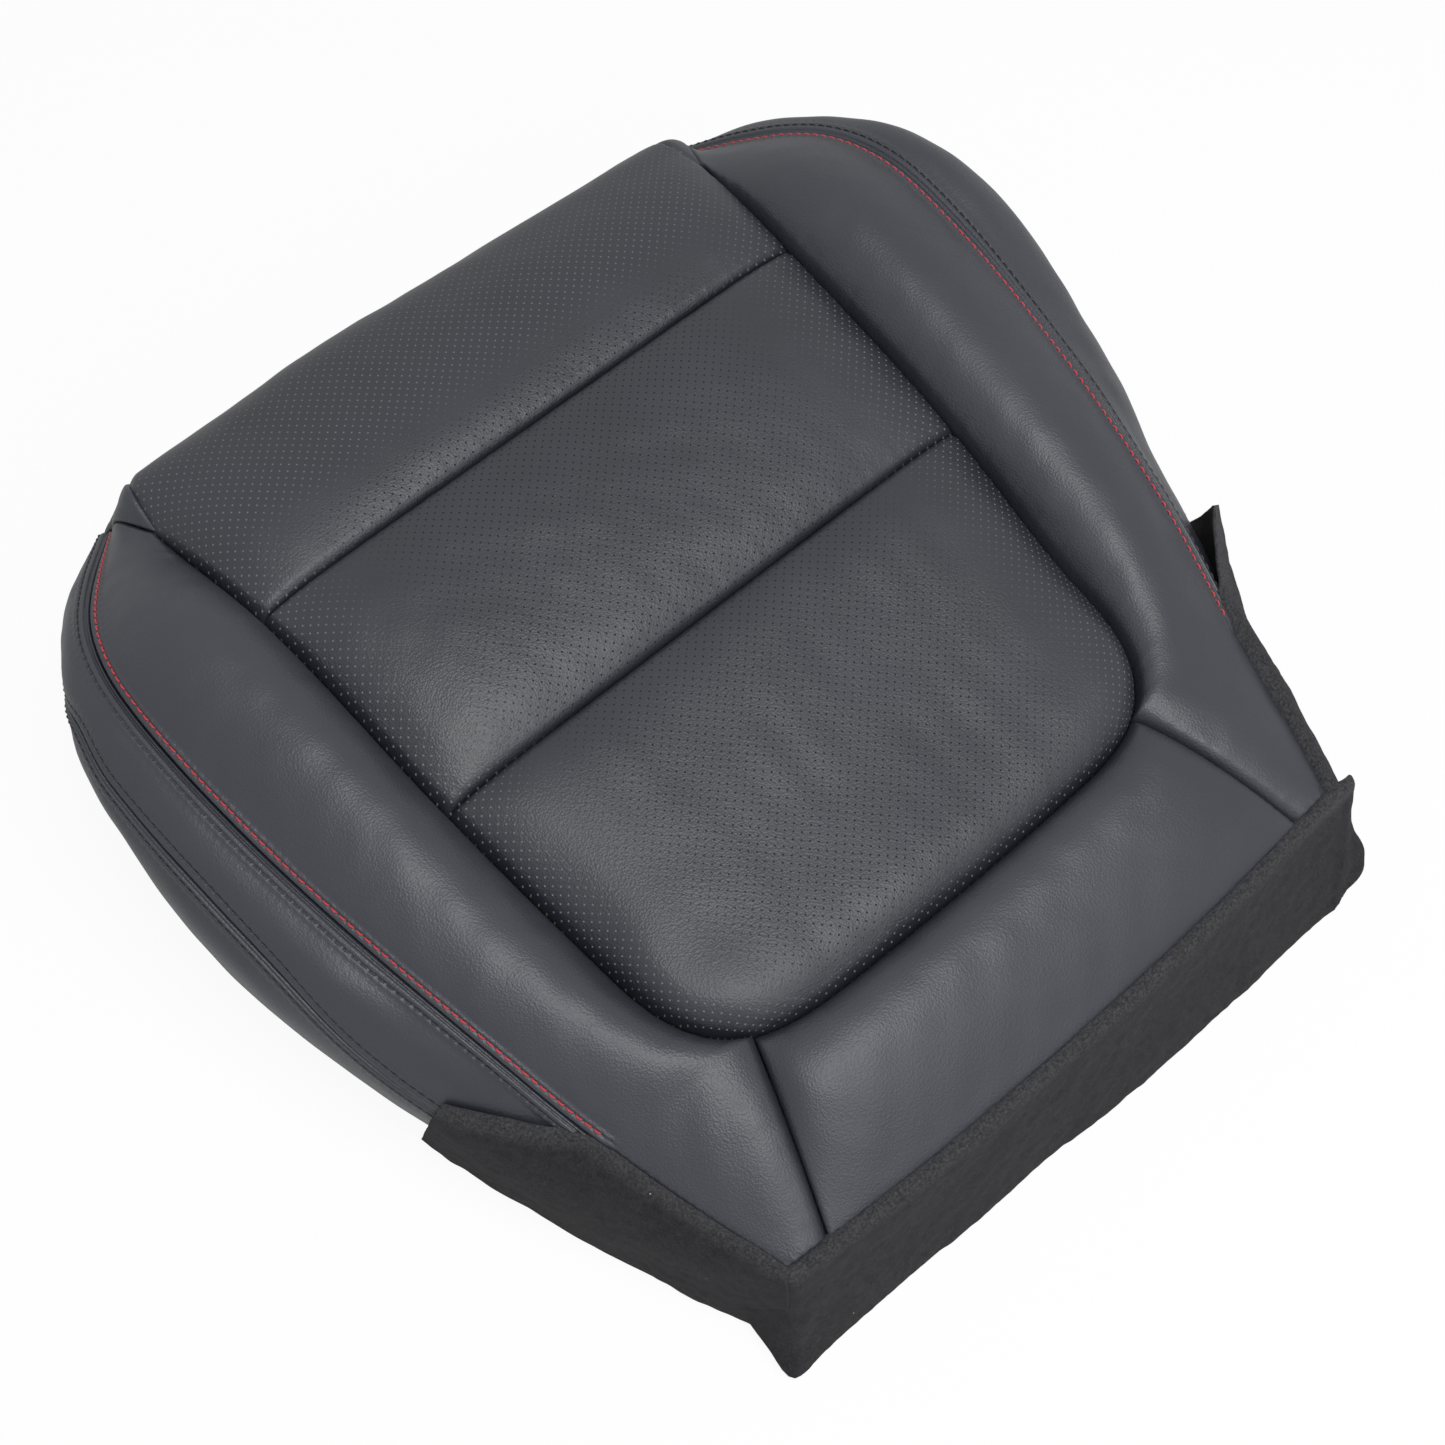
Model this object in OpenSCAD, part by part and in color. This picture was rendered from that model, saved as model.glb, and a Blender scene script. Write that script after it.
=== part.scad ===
// Front-seat bottom cushion: sewn leather trim cover over a moulded foam bun,
// with felt tuck flaps hinged on the rear and side hems.
// +X is the seat's left side, -Y its front, +Z up, the foam stands on z = 0.

/* [Plan] */
// Front face to the first cross seam
front_len = 128; // [110:1:150]
// Length of side groove in front of the first cross seam
groove_front = 75; // [60:1:85]
// First to second cross seam
mid_len = 128; // [110:1:150]
// Second cross seam to the rear edge of the perforated insert
rear_len = 173.5; // [150:0.5:200]
// Rear edge of the insert to the rear hem
rear_panel_len = 80; // [60:1:100]
// Width of the insert at the front wings
insert_w_front = 345; // [300:1:380]
// Width of the insert at the first cross seam
insert_w_seam1 = 329; // [290:1:360]
// Width of the insert at the second cross seam
insert_w_seam2 = 317; // [280:1:350]
// Width of the insert where its rear corners begin
insert_w_rear = 299; // [270:1:330]
// Reach of the insert's rounded rear corners
insert_corner = 72; // [50:1:90]
// Widest width over the two outer seams of the bolsters
bolster_w = 476; // [450:1:510]
// Width over the front ends of the bolster seams
bolster_w_front = 360; // [340:1:375]
// Width over the rear corners of the cover
rear_w = 346; // [320:1:370]
// Width between the outer ends of the two rear diagonal seams
diagonal_w = 300; // [280:1:320]

/* [Heights] */
// Height of the side groove at the front wings
groove_z_front = 123.6; // [110:0.2:135]
// Height of the side groove at the first cross seam
groove_z_seam1 = 130.6; // [115:0.2:145]
// Height of the side groove at the second cross seam
groove_z_seam2 = 114.6; // [100:0.2:130]
// Height of the groove at the insert's rear edge
groove_z_rear = 92; // [80:0.5:105]
// Height of the outer bolster seam at its front end
seam_z_front = 83; // [75:0.5:95]
// Height of the outer bolster seam at its highest
seam_z_top = 134.5; // [120:0.5:145]
// Height of the outer bolster seam where the side flap starts
seam_z_flap = 82; // [75:0.5:95]
// Height of the rear hem
hem_z = 65.5; // [55:0.5:75]
// Rise of the cross seams in the middle of the insert
seam_rise = 5.5; // [2:0.5:9]
// Crown of the insert panels over their seams
insert_crown = 10; // [6:0.5:14]
// Crown of the bolsters over the line between their seams
bolster_crown = 28; // [20:0.5:34]
// Crown of the plain rear panel
rear_crown = 14; // [8:0.5:18]

/* [Sides] */
// Bulge of the side past the outer seam behind the front corner
side_bulge_front = 18; // [14:0.5:26]
// Bulge of the side past the outer seam at its widest, beside the second cross seam
side_bulge_mid = 38; // [30:0.5:46]
// Bulge of the side past the outer seam at the rear corner
side_bulge_rear = 9; // [5:0.5:14]
// Drop from the outer seam to the widest line
side_drop = 42; // [34:0.5:50]
// Slope of the side where it leaves the outer seam at the front, in degrees
shoulder_slope = 8; // [4:1:30]
// Slope of the side where it leaves the outer seam behind the widest place, in degrees
lap_slope = 36; // [28:1:42]
// Height of the lower hem of the leather sides over the floor
hem_lift = 2; // [1.5:0.1:4]

/* [Cover and foam] */
// Thickness of the laminated leather
leather_t = 4.5; // [3:0.1:6]
// Half width of the tie-down trenches in the foam
trench_half = 9; // [8:0.1:12]
// Depth of the tie-down trenches below the leather
trench_depth = 36; // [33:0.5:44]
// Inset of the foam's underside, room for the hook strips
foam_inset = 28.5; // [26:0.5:34]

/* [Tie wires and hooks] */
// Diameter of the tie-down wires
wire_d = 2.4; // [2:0.1:2.8]
// Depth of the listing wire below the leather's underside
wire_depth = 5.5; // [5:0.1:7]
// Depth of the lower wire below the leather's underside
low_wire_depth = 9; // [8.4:0.1:11]
// Outer diameter of a closed hog ring
ring_d = 9.4; // [9:0.1:10]
// Wire diameter of a hog ring
ring_wire = 1.6; // [1.2:0.1:1.7]
// Height of the lip of a plastic hook strip
hook_h = 5.5; // [4:0.5:7]
// Reach of the hook inwards
hook_reach = 7; // [5:0.5:8]
// Wall of a hook strip
hook_t = 2; // [1.5:0.1:2.4]

/* [Felt flaps] */
// Thickness of the felt
felt_t = 3; // [2:0.1:4]
// Gap between the felt and what hangs behind it
felt_gap = 2; // [1.5:0.1:4]
// Outward reach of the rear flap at its lower edge
skirt_out = 24; // [16:0.5:32]
// Height of the felt's lower edges over the floor
felt_lift = 3; // [2:0.1:6]
// Spread of each end of the rear flap from its top edge to its lower edge
skirt_spread = 14; // [8:0.5:18]
// Outward reach of the side flaps at their front end
flap_out_front = 27; // [22:0.5:36]
// Outward reach of the side flaps at the rear corner
flap_out_rear = 15; // [12:0.5:20]

/* [Hidden] */
y_wing = front_len - groove_front;
y_s1 = front_len;
y_s2 = y_s1 + mid_len;
y_ins = y_s2 + rear_len;
y_hem = y_ins + rear_panel_len;
y_back = y_hem + skirt_out + felt_t;
y_mid = y_back / 2;
y_corner = y_ins - insert_corner - 6;
// where the seams meet the outer seam curve: 0..1 front bend, 1..2 rear run
s_1 = 0.806;
s_2 = 1.296;
s_d = 1.768;
t_d = 0.66;
soft = 15;
roll_soft = 9;
groove_w = 14;

function clamp01(a) = max(0, min(1, a));
function lerp(a, b, t) = a + (b - a) * t;
function unit(a) = a / norm(a);
function ramp(a) = let (c = clamp01(a)) c * c * (3 - 2 * c);
function rp(p) = [for (c = p) round(c * 1000) / 1000];
function flip(p) = [-p[0], p[1], p[2]];
function seg(t, v, i = 0) = i >= len(t) - 2 || v <= t[i + 1][0] ? i : seg(t, v, i + 1);
function chord(t, i) = (t[i + 1][1] - t[i][1]) / (t[i + 1][0] - t[i][0]);
function slope(t, i) =
    i == 0 ? chord(t, 0) :
    i == len(t) - 1 ? chord(t, i - 1) :
    let (a = t[i][0] - t[i - 1][0], b = t[i + 1][0] - t[i][0])
    (chord(t, i - 1) * b + chord(t, i) * a) / (a + b);
// smooth curve through stations [position, value]
function ease(t, v) =
    let (i = seg(t, v), h = t[i + 1][0] - t[i][0], s = clamp01((v - t[i][0]) / h),
         a = s * s * s, b = s * s)
    t[i][1] * (2 * a - 3 * b + 1) + slope(t, i) * h * (a - 2 * b + s)
    + t[i + 1][1] * (3 * b - 2 * a) + slope(t, i + 1) * h * (a - b);
function bez(p, t) =
    let (q = 1 - t)
    q * q * q * p[0] + 3 * q * q * t * p[1] + 3 * q * t * t * p[2] + t * t * t * p[3];

// ---- groove round the insert ----
side_st = [[y_wing, insert_w_front / 2], [y_s1, insert_w_seam1 / 2],
           [y_s2, insert_w_seam2 / 2], [y_corner, insert_w_rear / 2]];
corner_k = [insert_w_rear / 2 - 3.5, y_ins - 4.5];
corner_a = [insert_w_rear / 2, y_corner];
corner_b = [insert_w_rear / 2 - insert_corner, y_ins - 1.5];
corner = [corner_a, lerp(corner_a, corner_k, 0.75), lerp(corner_b, corner_k, 0.75), corner_b];
groove_st = [[y_wing, groove_z_front], [y_s1, groove_z_seam1],
             [(y_s1 + y_s2) / 2, lerp(groove_z_seam1, groove_z_seam2, 0.36)],
             [y_s2, groove_z_seam2],
             [y_s2 + rear_len / 2, lerp(groove_z_seam2, groove_z_rear, 0.8)],
             [y_ins, groove_z_rear]];
function groove_z(y) = ease(groove_st, y);
function groove_side(y) = [ease(side_st, y), y];
split_side = (y_corner - y_s2) / (y_corner - y_s2 + insert_corner * 1.05);
function groove_rear_side(f) =
    f < split_side ? groove_side(lerp(y_s2, y_corner, f / split_side))
    : bez(corner, t_d * (f - split_side) / (1 - split_side));
split_back = 0.376;
function groove_back(u) =
    let (q = 1 - abs(u), g = u < 0 ? -1 : 1,
         p = q < split_back ? bez(corner, t_d + (1 - t_d) * q / split_back)
             : let (x = corner_b[0] * (1 - (q - split_back) / (1 - split_back)))
               [x, y_ins - 1.5 * pow(x / corner_b[0], 2)])
    [g * p[0], p[1]];
loop = concat([for (i = [0:7]) groove_side(lerp(y_wing, y_s2, i / 7))],
              [for (i = [1:16]) groove_rear_side(i / 16)],
              [for (i = [1:10]) groove_back(1 - i / 10)]);
function seg_dist(q, a, b) =
    let (d = b - a, t = clamp01(((q - a) * d) / (d * d))) norm(q - a - t * d);
function loop_dist(x, y) =
    min([for (i = [0:len(loop) - 2]) seg_dist([abs(x), y], loop[i], loop[i + 1])]);

// ---- insert surface ----
centre_st = [[y_wing, groove_z_seam1 + seam_rise - 4], [y_s1 - 44, groove_z_seam1 + seam_rise - 1],
             [y_s1, groove_z_seam1 + seam_rise],
             [y_s2, groove_z_seam2 + seam_rise], [y_s2 + rear_len * 0.45, groove_z_rear + 15],
             [y_ins, groove_z_rear + 6]];
function swell(d) = 1 - exp(-d / soft);
function pillow(y) =
    insert_crown * (y < y_s1 ? 0.9 * swell(y_s1 - y) :
    y < y_s2 ? 0.9 * swell(y - y_s1) * swell(y_s2 - y) : swell(y - y_s2));
function centre_z(y) = ease(centre_st, y) + pillow(y);
function insert_pt(x, y) =
    [x, y, lerp(groove_z(y), centre_z(y), swell(loop_dist(x, y)))];

// ---- outer seam, bolster and side ----
seam_a = [[bolster_w_front / 2, 11], [bolster_w_front / 2 + 41.5, 64],
          [bolster_w / 2, 86], [bolster_w / 2, y_s1 + mid_len * 0.1406]];
seam_b = [[bolster_w / 2, y_s1 + mid_len * 0.1406], [bolster_w / 2, y_s1 + mid_len * 0.9219],
          [rear_w / 2 + 35, y_hem - 114], [rear_w / 2, y_hem - 8]];
seam_st = [[11, seam_z_front], [46, lerp(seam_z_front, seam_z_top, 0.5)],
           [75, lerp(seam_z_front, seam_z_top, 0.82)], [y_s1 - 11, seam_z_top],
           [y_s1 + mid_len * 0.3828, lerp(seam_z_top, seam_z_flap, 0.076)],
           [y_s1 + mid_len * 0.8281, lerp(seam_z_top, seam_z_flap, 0.238)],
           [y_s2 + 33, lerp(seam_z_top, seam_z_flap, 0.4)],
           [y_s2 + 91, lerp(seam_z_top, seam_z_flap, 0.63)],
           [y_hem - 104, seam_z_flap], [y_hem - 8, hem_z]];
function seam_xy(s) = s <= 1 ? bez(seam_a, s) : bez(seam_b, s - 1);
function seam_pt(s) = let (p = seam_xy(s)) [p[0], p[1], ease(seam_st, p[1])];
function seam_out(s) =
    let (d = unit(seam_xy(min(2, s + 0.002)) - seam_xy(max(0, s - 0.002)))) [d[1], -d[0], 0];
diag_in = let (p = bez(corner, t_d)) [p[0], p[1], groove_z(p[1])];
function hem_y(x) = y_hem - 8 * pow(abs(x) / (rear_w / 2), 2.4);
diag_out = [diagonal_w / 2, hem_y(diagonal_w / 2), hem_z];
function diagonal(f) = lerp(diag_in, diag_out, f) + [0, 0, 24 * f * (1 - f)];
crown_st = [[0, 3], [0.25, 9], [0.55, 0.7 * bolster_crown], [1, bolster_crown - 1],
            [1.3, bolster_crown], [1.6, 0.86 * bolster_crown], [s_d, bolster_crown / 2], [2, 6]];
// rungs [inner point, place on the outer seam, panel it lies beside]
front_f = [0, 0.28, 0.56, 0.75, 1 - trench_half / groove_front, 1];
mid_e = trench_half / mid_len;
mid_f = [0, mid_e, 0.2, 0.35, 0.5, 0.65, 0.8, 1 - mid_e, 1];
rear_f = [0, trench_half / rear_len, 0.16, 0.29, 0.42, 0.55, 0.68, 0.8, 0.91, 1];
diag_f = [0, 0.2, 0.45, 0.7, 1];
function tail(a) = [for (i = [1:len(a) - 1]) a[i]];
function on_groove(p) = [p[0], p[1], groove_z(p[1])];
rungs = concat(
    [for (f = front_f) [on_groove(groove_side(lerp(y_wing, y_s1, f))), s_1 * f]],
    [for (f = tail(mid_f)) [on_groove(groove_side(lerp(y_s1, y_s2, f))), lerp(s_1, s_2, f)]],
    [for (f = tail(rear_f)) [on_groove(groove_rear_side(f)), lerp(s_2, s_d, f)]],
    [for (f = tail(diag_f)) [diagonal(f), lerp(s_d, 2, f)]]);
rung_d = len(front_f) + len(mid_f) + len(rear_f) - 3;
rung_end = len(rungs) - 1;
function across(l, f) = f == 0 ? 0 : lerp(min(0.3, trench_half / l), 1, f);
cross_f = [0, 0.0001, 0.2, 0.43, 0.7, 1];
function flat(p) = [p[0], p[1]];
function rung_len(k) = norm(flat(seam_pt(rungs[k][1])) - flat(rungs[k][0]));
function bolster_pt(k, f) =
    let (a = rungs[k][0], s = rungs[k][1], b = seam_pt(s), l = rung_len(k),
         t = across(l, f), p = lerp(a, b, t))
    p + [0, 0, ease(crown_st, s) * (1 - exp(-t * l / groove_w)) * (1 - pow(t, 2.4))];
bulge_st = [[0, side_bulge_front * 0.5], [0.25, side_bulge_front],
            [0.55, lerp(side_bulge_front, side_bulge_mid, 0.12)],
            [0.8, lerp(side_bulge_front, side_bulge_mid, 0.53)],
            [1, lerp(side_bulge_front, side_bulge_mid, 0.82)], [1.2, side_bulge_mid],
            [1.5, side_bulge_mid * 0.79], [1.75, side_bulge_mid * 0.52], [2, side_bulge_rear]];
drop_st = [[0, side_drop * 0.57], [0.3, side_drop * 0.67], [1, side_drop * 0.72],
           [1.25, side_drop * 0.95], [1.5, side_drop * 1.14], [1.75, side_drop * 1.05], [2, side_drop * 0.9]];
slope_st = [[0, 20], [0.3, shoulder_slope], [1, shoulder_slope], [1.3, lap_slope * 0.75],
            [1.5, lap_slope], [2, lap_slope]];
// side profile: w 0..1 from the seam to the widest line, 1..2 down to the hem
function side_d(s, w) =
    let (d = ease(bulge_st, s), l = 0.5 * d, e = min(d, 5))
    w <= 1 ? bez([0, l, d, d], w) : bez([d, d, e + 0.55 * (d - e), e], w - 1);
function side_z(s, w) =
    let (z = seam_pt(s)[2], h = ease(drop_st, s), l = 0.5 * ease(bulge_st, s) * tan(ease(slope_st, s)))
    w <= 1 ? bez([z, z - l, z - 0.5 * h, z - h], w)
    : bez([z - h, z - h - 0.45 * (z - h), 0.28 * (z - h), hem_lift], w - 1);
function side_pt(s, w) =
    let (p = seam_pt(s), n = seam_out(s), d = side_d(s, w)) [p[0] + n[0] * d, p[1] + n[1] * d, side_z(s, w)];

// ---- front roll: v 0..v_f wing seam, v_f..1 down the corner line ----
v_f = 0.36;
w_front = 0.45;
w_seam = 0.85;
w_hook = 1.62;
v_front = v_f + (1 - v_f) * w_front / 2;
// lower side seam along the cushion, as a share of its height at the front corner
seam_w_st = [[0, 1], [0.5, 1.06], [0.68, 0.94], [0.8, 0.73], [1, 0.7], [1.2, 0.61],
             [1.32, 0.66], [1.5, 0.89], [s_d, 0.94]];
function side_w(s, w) =
    let (k = ease(seam_w_st, s))
    w <= w_seam ? w * k : w >= w_hook ? w :
    lerp(w_seam * k, w_hook, (w - w_seam) / (w_hook - w_seam));
wing_st = [[0, [insert_w_front / 2, y_wing, groove_z_front]],
           [0.2, [bolster_w_front / 2 + 1, 25, lerp(groove_z_front, seam_z_front, 0.36)]],
           [v_f, seam_pt(0)]];
function edge_pt(v) = v <= v_f ? ease(wing_st, v) : side_pt(0, 2 * (v - v_f) / (1 - v_f));
roll_st = [[0, [y_wing, centre_z(y_wing)]], [0.2, [24.5, centre_z(y_wing) - 10.5]],
           [v_f, [7.5, seam_z_front + 21]], [0.5, [1, seam_z_front - 3]],
           [0.66, [0, 56]], [0.84, [2, 26]], [1, [6, hem_lift]]];
insert_edge_st = [[0, 1], [0.2, 0.925], [v_f, 0.89], [v_front, 0.87], [1, 0.87]];
function insert_edge(v) = ease(insert_edge_st, v);
function front_pt(u, v) =
    let (e = edge_pt(v), c = ease(roll_st, v), x = u * e[0],
         b = 1 - exp(-(e[0] - abs(x)) / lerp(soft, roll_soft, ramp(v / 0.2))))
    [x, lerp(e[1], c[0], b), lerp(e[2], c[1], b)];

// ---- direction of the cover's thickness ----
function top_in(p) = let (a = 80 * ramp((48 - p[1]) / 46)) [0, sin(a), -cos(a)];
function side_in(s, w) = let (k = ramp(w)) unit(lerp(top_in(seam_pt(s)), -seam_out(s), k));
function front_in(u, v) =
    let (p = front_pt(u, v))
    v <= v_f ? top_in(p) :
    let (q = side_in(0, 2 * (v - v_f) / (1 - v_f)), k = pow(abs(u), 4),
         m = lerp(top_in(p), [0, 1, 0], ramp((v - v_f) / 0.14)))
    unit(lerp(m, [u < 0 ? -q[0] : q[0], q[1], q[2]], k));

// ---- grids: rows of [point, inward direction, trench share] ----
col_e = 1 - 2 * trench_half / insert_w_seam1;
cols = [-1, -col_e, -0.84, -0.66, -0.44, -0.22, 0, 0.22, 0.44, 0.66, 0.84, col_e, 1];
wing_c = [0, 0.5, 1];
function node_pt(p, d, k = 0) = [p, d, k];
function top_node(p, k = 0) = [p, top_in(p), k];
function is_end(u) = abs(u) == 1 ? 1 : 0;
function insert_at(x, y, e) = e == 1 ? on_groove([x, y]) : insert_pt(x, y);
function insert_row(y, k = 0) =
    let (h = ease(side_st, y))
    [for (u = cols) top_node(insert_at(u * h, y, is_end(u)), max(k, is_end(u)))];
function roll_v(f) = v_f * across(rung_len(0), f);
function roll_row(v) = [for (u = cols) node_pt(front_pt(u * insert_edge(v), v), front_in(u * insert_edge(v), v))];
roll_vs = concat([for (f = tail(cross_f)) roll_v(f)],
                 [for (w = [0.2, w_front]) v_f + (1 - v_f) * w / 2]);
grid_front = concat([for (i = [len(roll_vs) - 1:-1:0]) roll_row(roll_vs[i])],
                    [for (f = front_f) insert_row(lerp(y_wing, y_s1, f), f == 1 ? 1 : 0)]);
grid_mid = [for (f = mid_f) insert_row(lerp(y_s1, y_s2, f), f == 0 || f == 1 ? 1 : 0)];
function patch_xy(u, f) =
    let (a = (u + 1) / 2, s = [u * insert_w_seam2 / 2, y_s2], r = groove_back(u),
         e = groove_rear_side(f), l = [-e[0], e[1]],
         s0 = [-insert_w_seam2 / 2, y_s2], s1 = [insert_w_seam2 / 2, y_s2],
         r0 = groove_back(-1), r1 = groove_back(1))
    (1 - f) * s + f * r + (1 - a) * l + a * e
    - (1 - a) * (1 - f) * s0 - a * (1 - f) * s1 - (1 - a) * f * r0 - a * f * r1;
grid_rear_insert = [for (f = rear_f) [for (u = cols)
    let (q = patch_xy(u, f), e = max(is_end(u), f == 1 ? 1 : 0))
    top_node(insert_at(q[0], q[1], e), max(e, f == 0 ? 1 : 0))]];
grid_bolster = [for (k = [0:rung_end]) [for (f = cross_f)
    let (p = k == 0 ? edge_pt(v_f * across(rung_len(0), f)) : bolster_pt(k, f))
    top_node(p, f == 0 && k <= rung_d ? 1 : 0)]];
function wing_row(v) = [for (g = wing_c) let (u = lerp(insert_edge(v), 1, g))
    node_pt(front_pt(u, v), front_in(u, v))];
grid_wing = concat([for (i = [len(roll_vs) - 1:-1:0]) wing_row(roll_vs[i])],
                   [[for (g = wing_c) top_node(on_groove(groove_side(y_wing)), 1)]]);
upper_w = [0, 0.2, w_front, w_seam];
lower_w = [w_seam, 1.2, w_hook, 2];
function side_grid(ws, k0, k1) = [for (k = [k0:k1]) [for (w = ws)
    let (s = rungs[k][1], q = side_w(s, w)) node_pt(side_pt(s, q), side_in(s, q))]];
face_u = let (e = insert_edge(v_front))
    concat([-1, -lerp(e, 1, 0.5)], [for (u = cols) u * e], [lerp(e, 1, 0.5), 1]);
face_w = [w_front, w_seam, 1.2, w_hook, 2];
grid_face = [for (i = [len(face_w) - 1:-1:0]) [for (u = face_u)
    let (v = v_f + (1 - v_f) * face_w[i] / 2) node_pt(front_pt(u, v), front_in(u, v))]];
function rear_pt(u, t) =
    abs(u) == 1 ? let (p = diagonal(t)) [u * p[0], p[1], p[2]] :
    let (g = groove_back(u), a = [g[0], g[1], groove_z(g[1])],
         b = [u * diag_out[0], hem_y(u * diag_out[0]), hem_z],
         e = 1 - exp(-(1 - abs(u)) * diag_out[0] / groove_w), l = norm(b - a))
    lerp(a, b, t) + [0, 0, 24 * t * (1 - t) + rear_crown * (1 - exp(-t * l / groove_w)) * (1 - pow(t, 2.2)) * e];
function rear_row_t(i) = i == 0 ? 0 : i == len(diag_f) - 1 ? 1 : diag_f[i];
grid_rear = [for (i = [0:len(diag_f) - 1]) [for (u = cols)
    top_node(rear_pt(u, rear_row_t(i)), i == 0 ? 1 : 0)]];

// ---- solids from grids ----
function outer(g) = [for (r = g) [for (n = r) rp(n[0])]];
function inner(g, t, q = 0) = [for (r = g) [for (n = r) rp(n[0] + n[1] * (t + n[2] * q))]];
function mirrored(g) = [for (r = g) [for (n = r) [flip(n[0]), flip(n[1]), n[2]]]];
// triangles of a grid, seen from outside when rows run +x and columns +y
function tri(a, b, c) = a == b || b == c || a == c ? [] : [[a, b, c]];
function skin(g, back = false) = [for (i = [0:len(g) - 2]) for (j = [0:len(g[0]) - 2])
    let (a = g[i][j], b = g[i][j + 1], c = g[i + 1][j + 1], d = g[i + 1][j])
    each back ? concat(tri(a, b, c), tri(a, c, d)) : concat(tri(a, c, b), tri(a, d, c))];
// edge faces split the same way from both sides, so that neighbours meet flush
function order(p) = p[1] + 0.37 * abs(p[0]) + 0.11 * p[2];
function wall(a, b) = [for (i = [0:len(a) - 2])
    each order(a[i]) < order(a[i + 1])
        ? concat(tri(a[i], b[i + 1], a[i + 1]), tri(a[i], b[i], b[i + 1]))
        : concat(tri(a[i], b[i], a[i + 1]), tri(a[i + 1], b[i], b[i + 1]))];
function col(g, j) = [for (r = g) r[j]];
function turned(l) = [for (i = [len(l) - 1:-1:0]) l[i]];
function shell(o, n) = let (r = len(o) - 1, c = len(o[0]) - 1) concat(
    skin(o), skin(n, true), wall(turned(o[0]), turned(n[0])), wall(o[r], n[r]),
    wall(col(o, 0), col(n, 0)), wall(turned(col(o, c)), turned(col(n, c))));
module solid(ts) {
    pts = [for (t = ts) for (p = t) [p[0], p[1] - y_mid, p[2]]];
    polyhedron(points = pts, faces = [for (i = [0:len(ts) - 1]) [3 * i, 3 * i + 1, 3 * i + 2]]);
}
module panel(g) solid(shell(outer(g), inner(g, leather_t)));

// ---- foam bun ----
all_w = [0, 0.2, w_front, w_seam, 1.2, w_hook];
function foot(p, d) = [[p[0] + d[0] * foam_inset, p[1] + d[1] * foam_inset, 0], [0, 0, 0], 0];
function under(p, d) = node_pt(p + d * leather_t, [0, 0, 0]);
foam_side = [for (k = [0:rung_end]) let (s = rungs[k][1]) concat(
    [for (w = all_w) let (q = side_w(s, w)) under(side_pt(s, q), side_in(s, q))],
    [foot(side_pt(s, 2), side_in(s, 2))])];
foam_face = concat(
    [[for (u = face_u) foot(front_pt(u, 1), front_in(u, 1))]],
    [for (i = [len(face_w) - 2:-1:0]) [for (u = face_u)
        let (v = v_f + (1 - v_f) * face_w[i] / 2) under(front_pt(u, v), front_in(u, v))]]);
rim = concat([for (f = turned(cross_f)) flip(bolster_pt(rung_end, f))],
             [for (u = cols) if (abs(u) < 1) rear_pt(u, 1)],
             [for (f = cross_f) bolster_pt(rung_end, f)]);
function back_pt(p, w) =
    w == 0 ? p : let (c = side_pt(2, side_w(2, w)), e = seam_pt(2))
    [p[0] * c[0] / e[0], p[1] + c[1] - e[1], c[2]];
function back_in(p, w) =
    w == 0 ? top_in(p) : let (q = side_in(2, side_w(2, w)), k = pow(abs(p[0]) / (rear_w / 2), 6))
    unit(lerp([0, -1, 0], [p[0] < 0 ? -q[0] : q[0], q[1], q[2]], k));
foam_back = concat(
    [for (w = all_w) [for (p = rim) under(back_pt(p, w), back_in(p, w))]],
    [[for (p = rim) foot(back_pt(p, 2), back_in(p, 2))]]);
function left_of(g) = [for (r = g) turned([for (n = r) [flip(n[0]), flip(n[1]), n[2]]])];
function under_skin(g) = skin(inner(g, leather_t, trench_depth));
module foam_bun() color("#c9c4a8") {
    foots = concat([for (n = foam_face[0]) n[0]], [for (r = tail(foam_side)) r[len(r) - 1][0]],
        [for (i = [len(rim) - 2:-1:0]) foam_back[len(foam_back) - 1][i][0]],
        [for (k = [rung_end - 1:-1:1]) flip(foam_side[k][len(all_w)][0])]);
    c = [0, y_mid, 0];
    n = len(foots);
    solid(concat(
        under_skin(grid_front), under_skin(grid_mid), under_skin(grid_rear_insert),
        under_skin(grid_bolster), under_skin(left_of(grid_bolster)),
        under_skin(grid_wing), under_skin(left_of(grid_wing)), under_skin(grid_rear),
        skin(outer(foam_side)), skin(outer(left_of(foam_side))),
        skin(outer(foam_face)), skin(outer(foam_back)),
        [for (i = [0:n - 1]) [rp(c), rp(foots[i]), rp(foots[(i + 1) % n])]]));
}

// ---- leather cover ----
leather = "#3a3a3d";
module insert_front_panel() color(leather) panel(grid_front);
module insert_middle_panel() color(leather) panel(grid_mid);
module insert_rear_panel() color(leather) panel(grid_rear_insert);
module left_bolster_panel() color(leather) panel(grid_bolster);
module right_bolster_panel() color(leather) panel(left_of(grid_bolster));
module left_wing_panel() color(leather) panel(grid_wing);
module right_wing_panel() color(leather) panel(left_of(grid_wing));
module rear_panel() color(leather) panel(grid_rear);
module front_facing() color(leather) panel(grid_face);
module left_upper_side_facing() color(leather) panel(side_grid(upper_w, 0, rung_d));
module right_upper_side_facing() color(leather) panel(left_of(side_grid(upper_w, 0, rung_d)));
module left_lower_side_facing() color(leather) panel(side_grid(lower_w, 0, rung_d));
module right_lower_side_facing() color(leather) panel(left_of(side_grid(lower_w, 0, rung_d)));

// ---- felt flaps ----
felt = "#26262a";
s_flap = 1.515;
s_sewn = 1.72;
edge_gap = 0.7;
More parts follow.
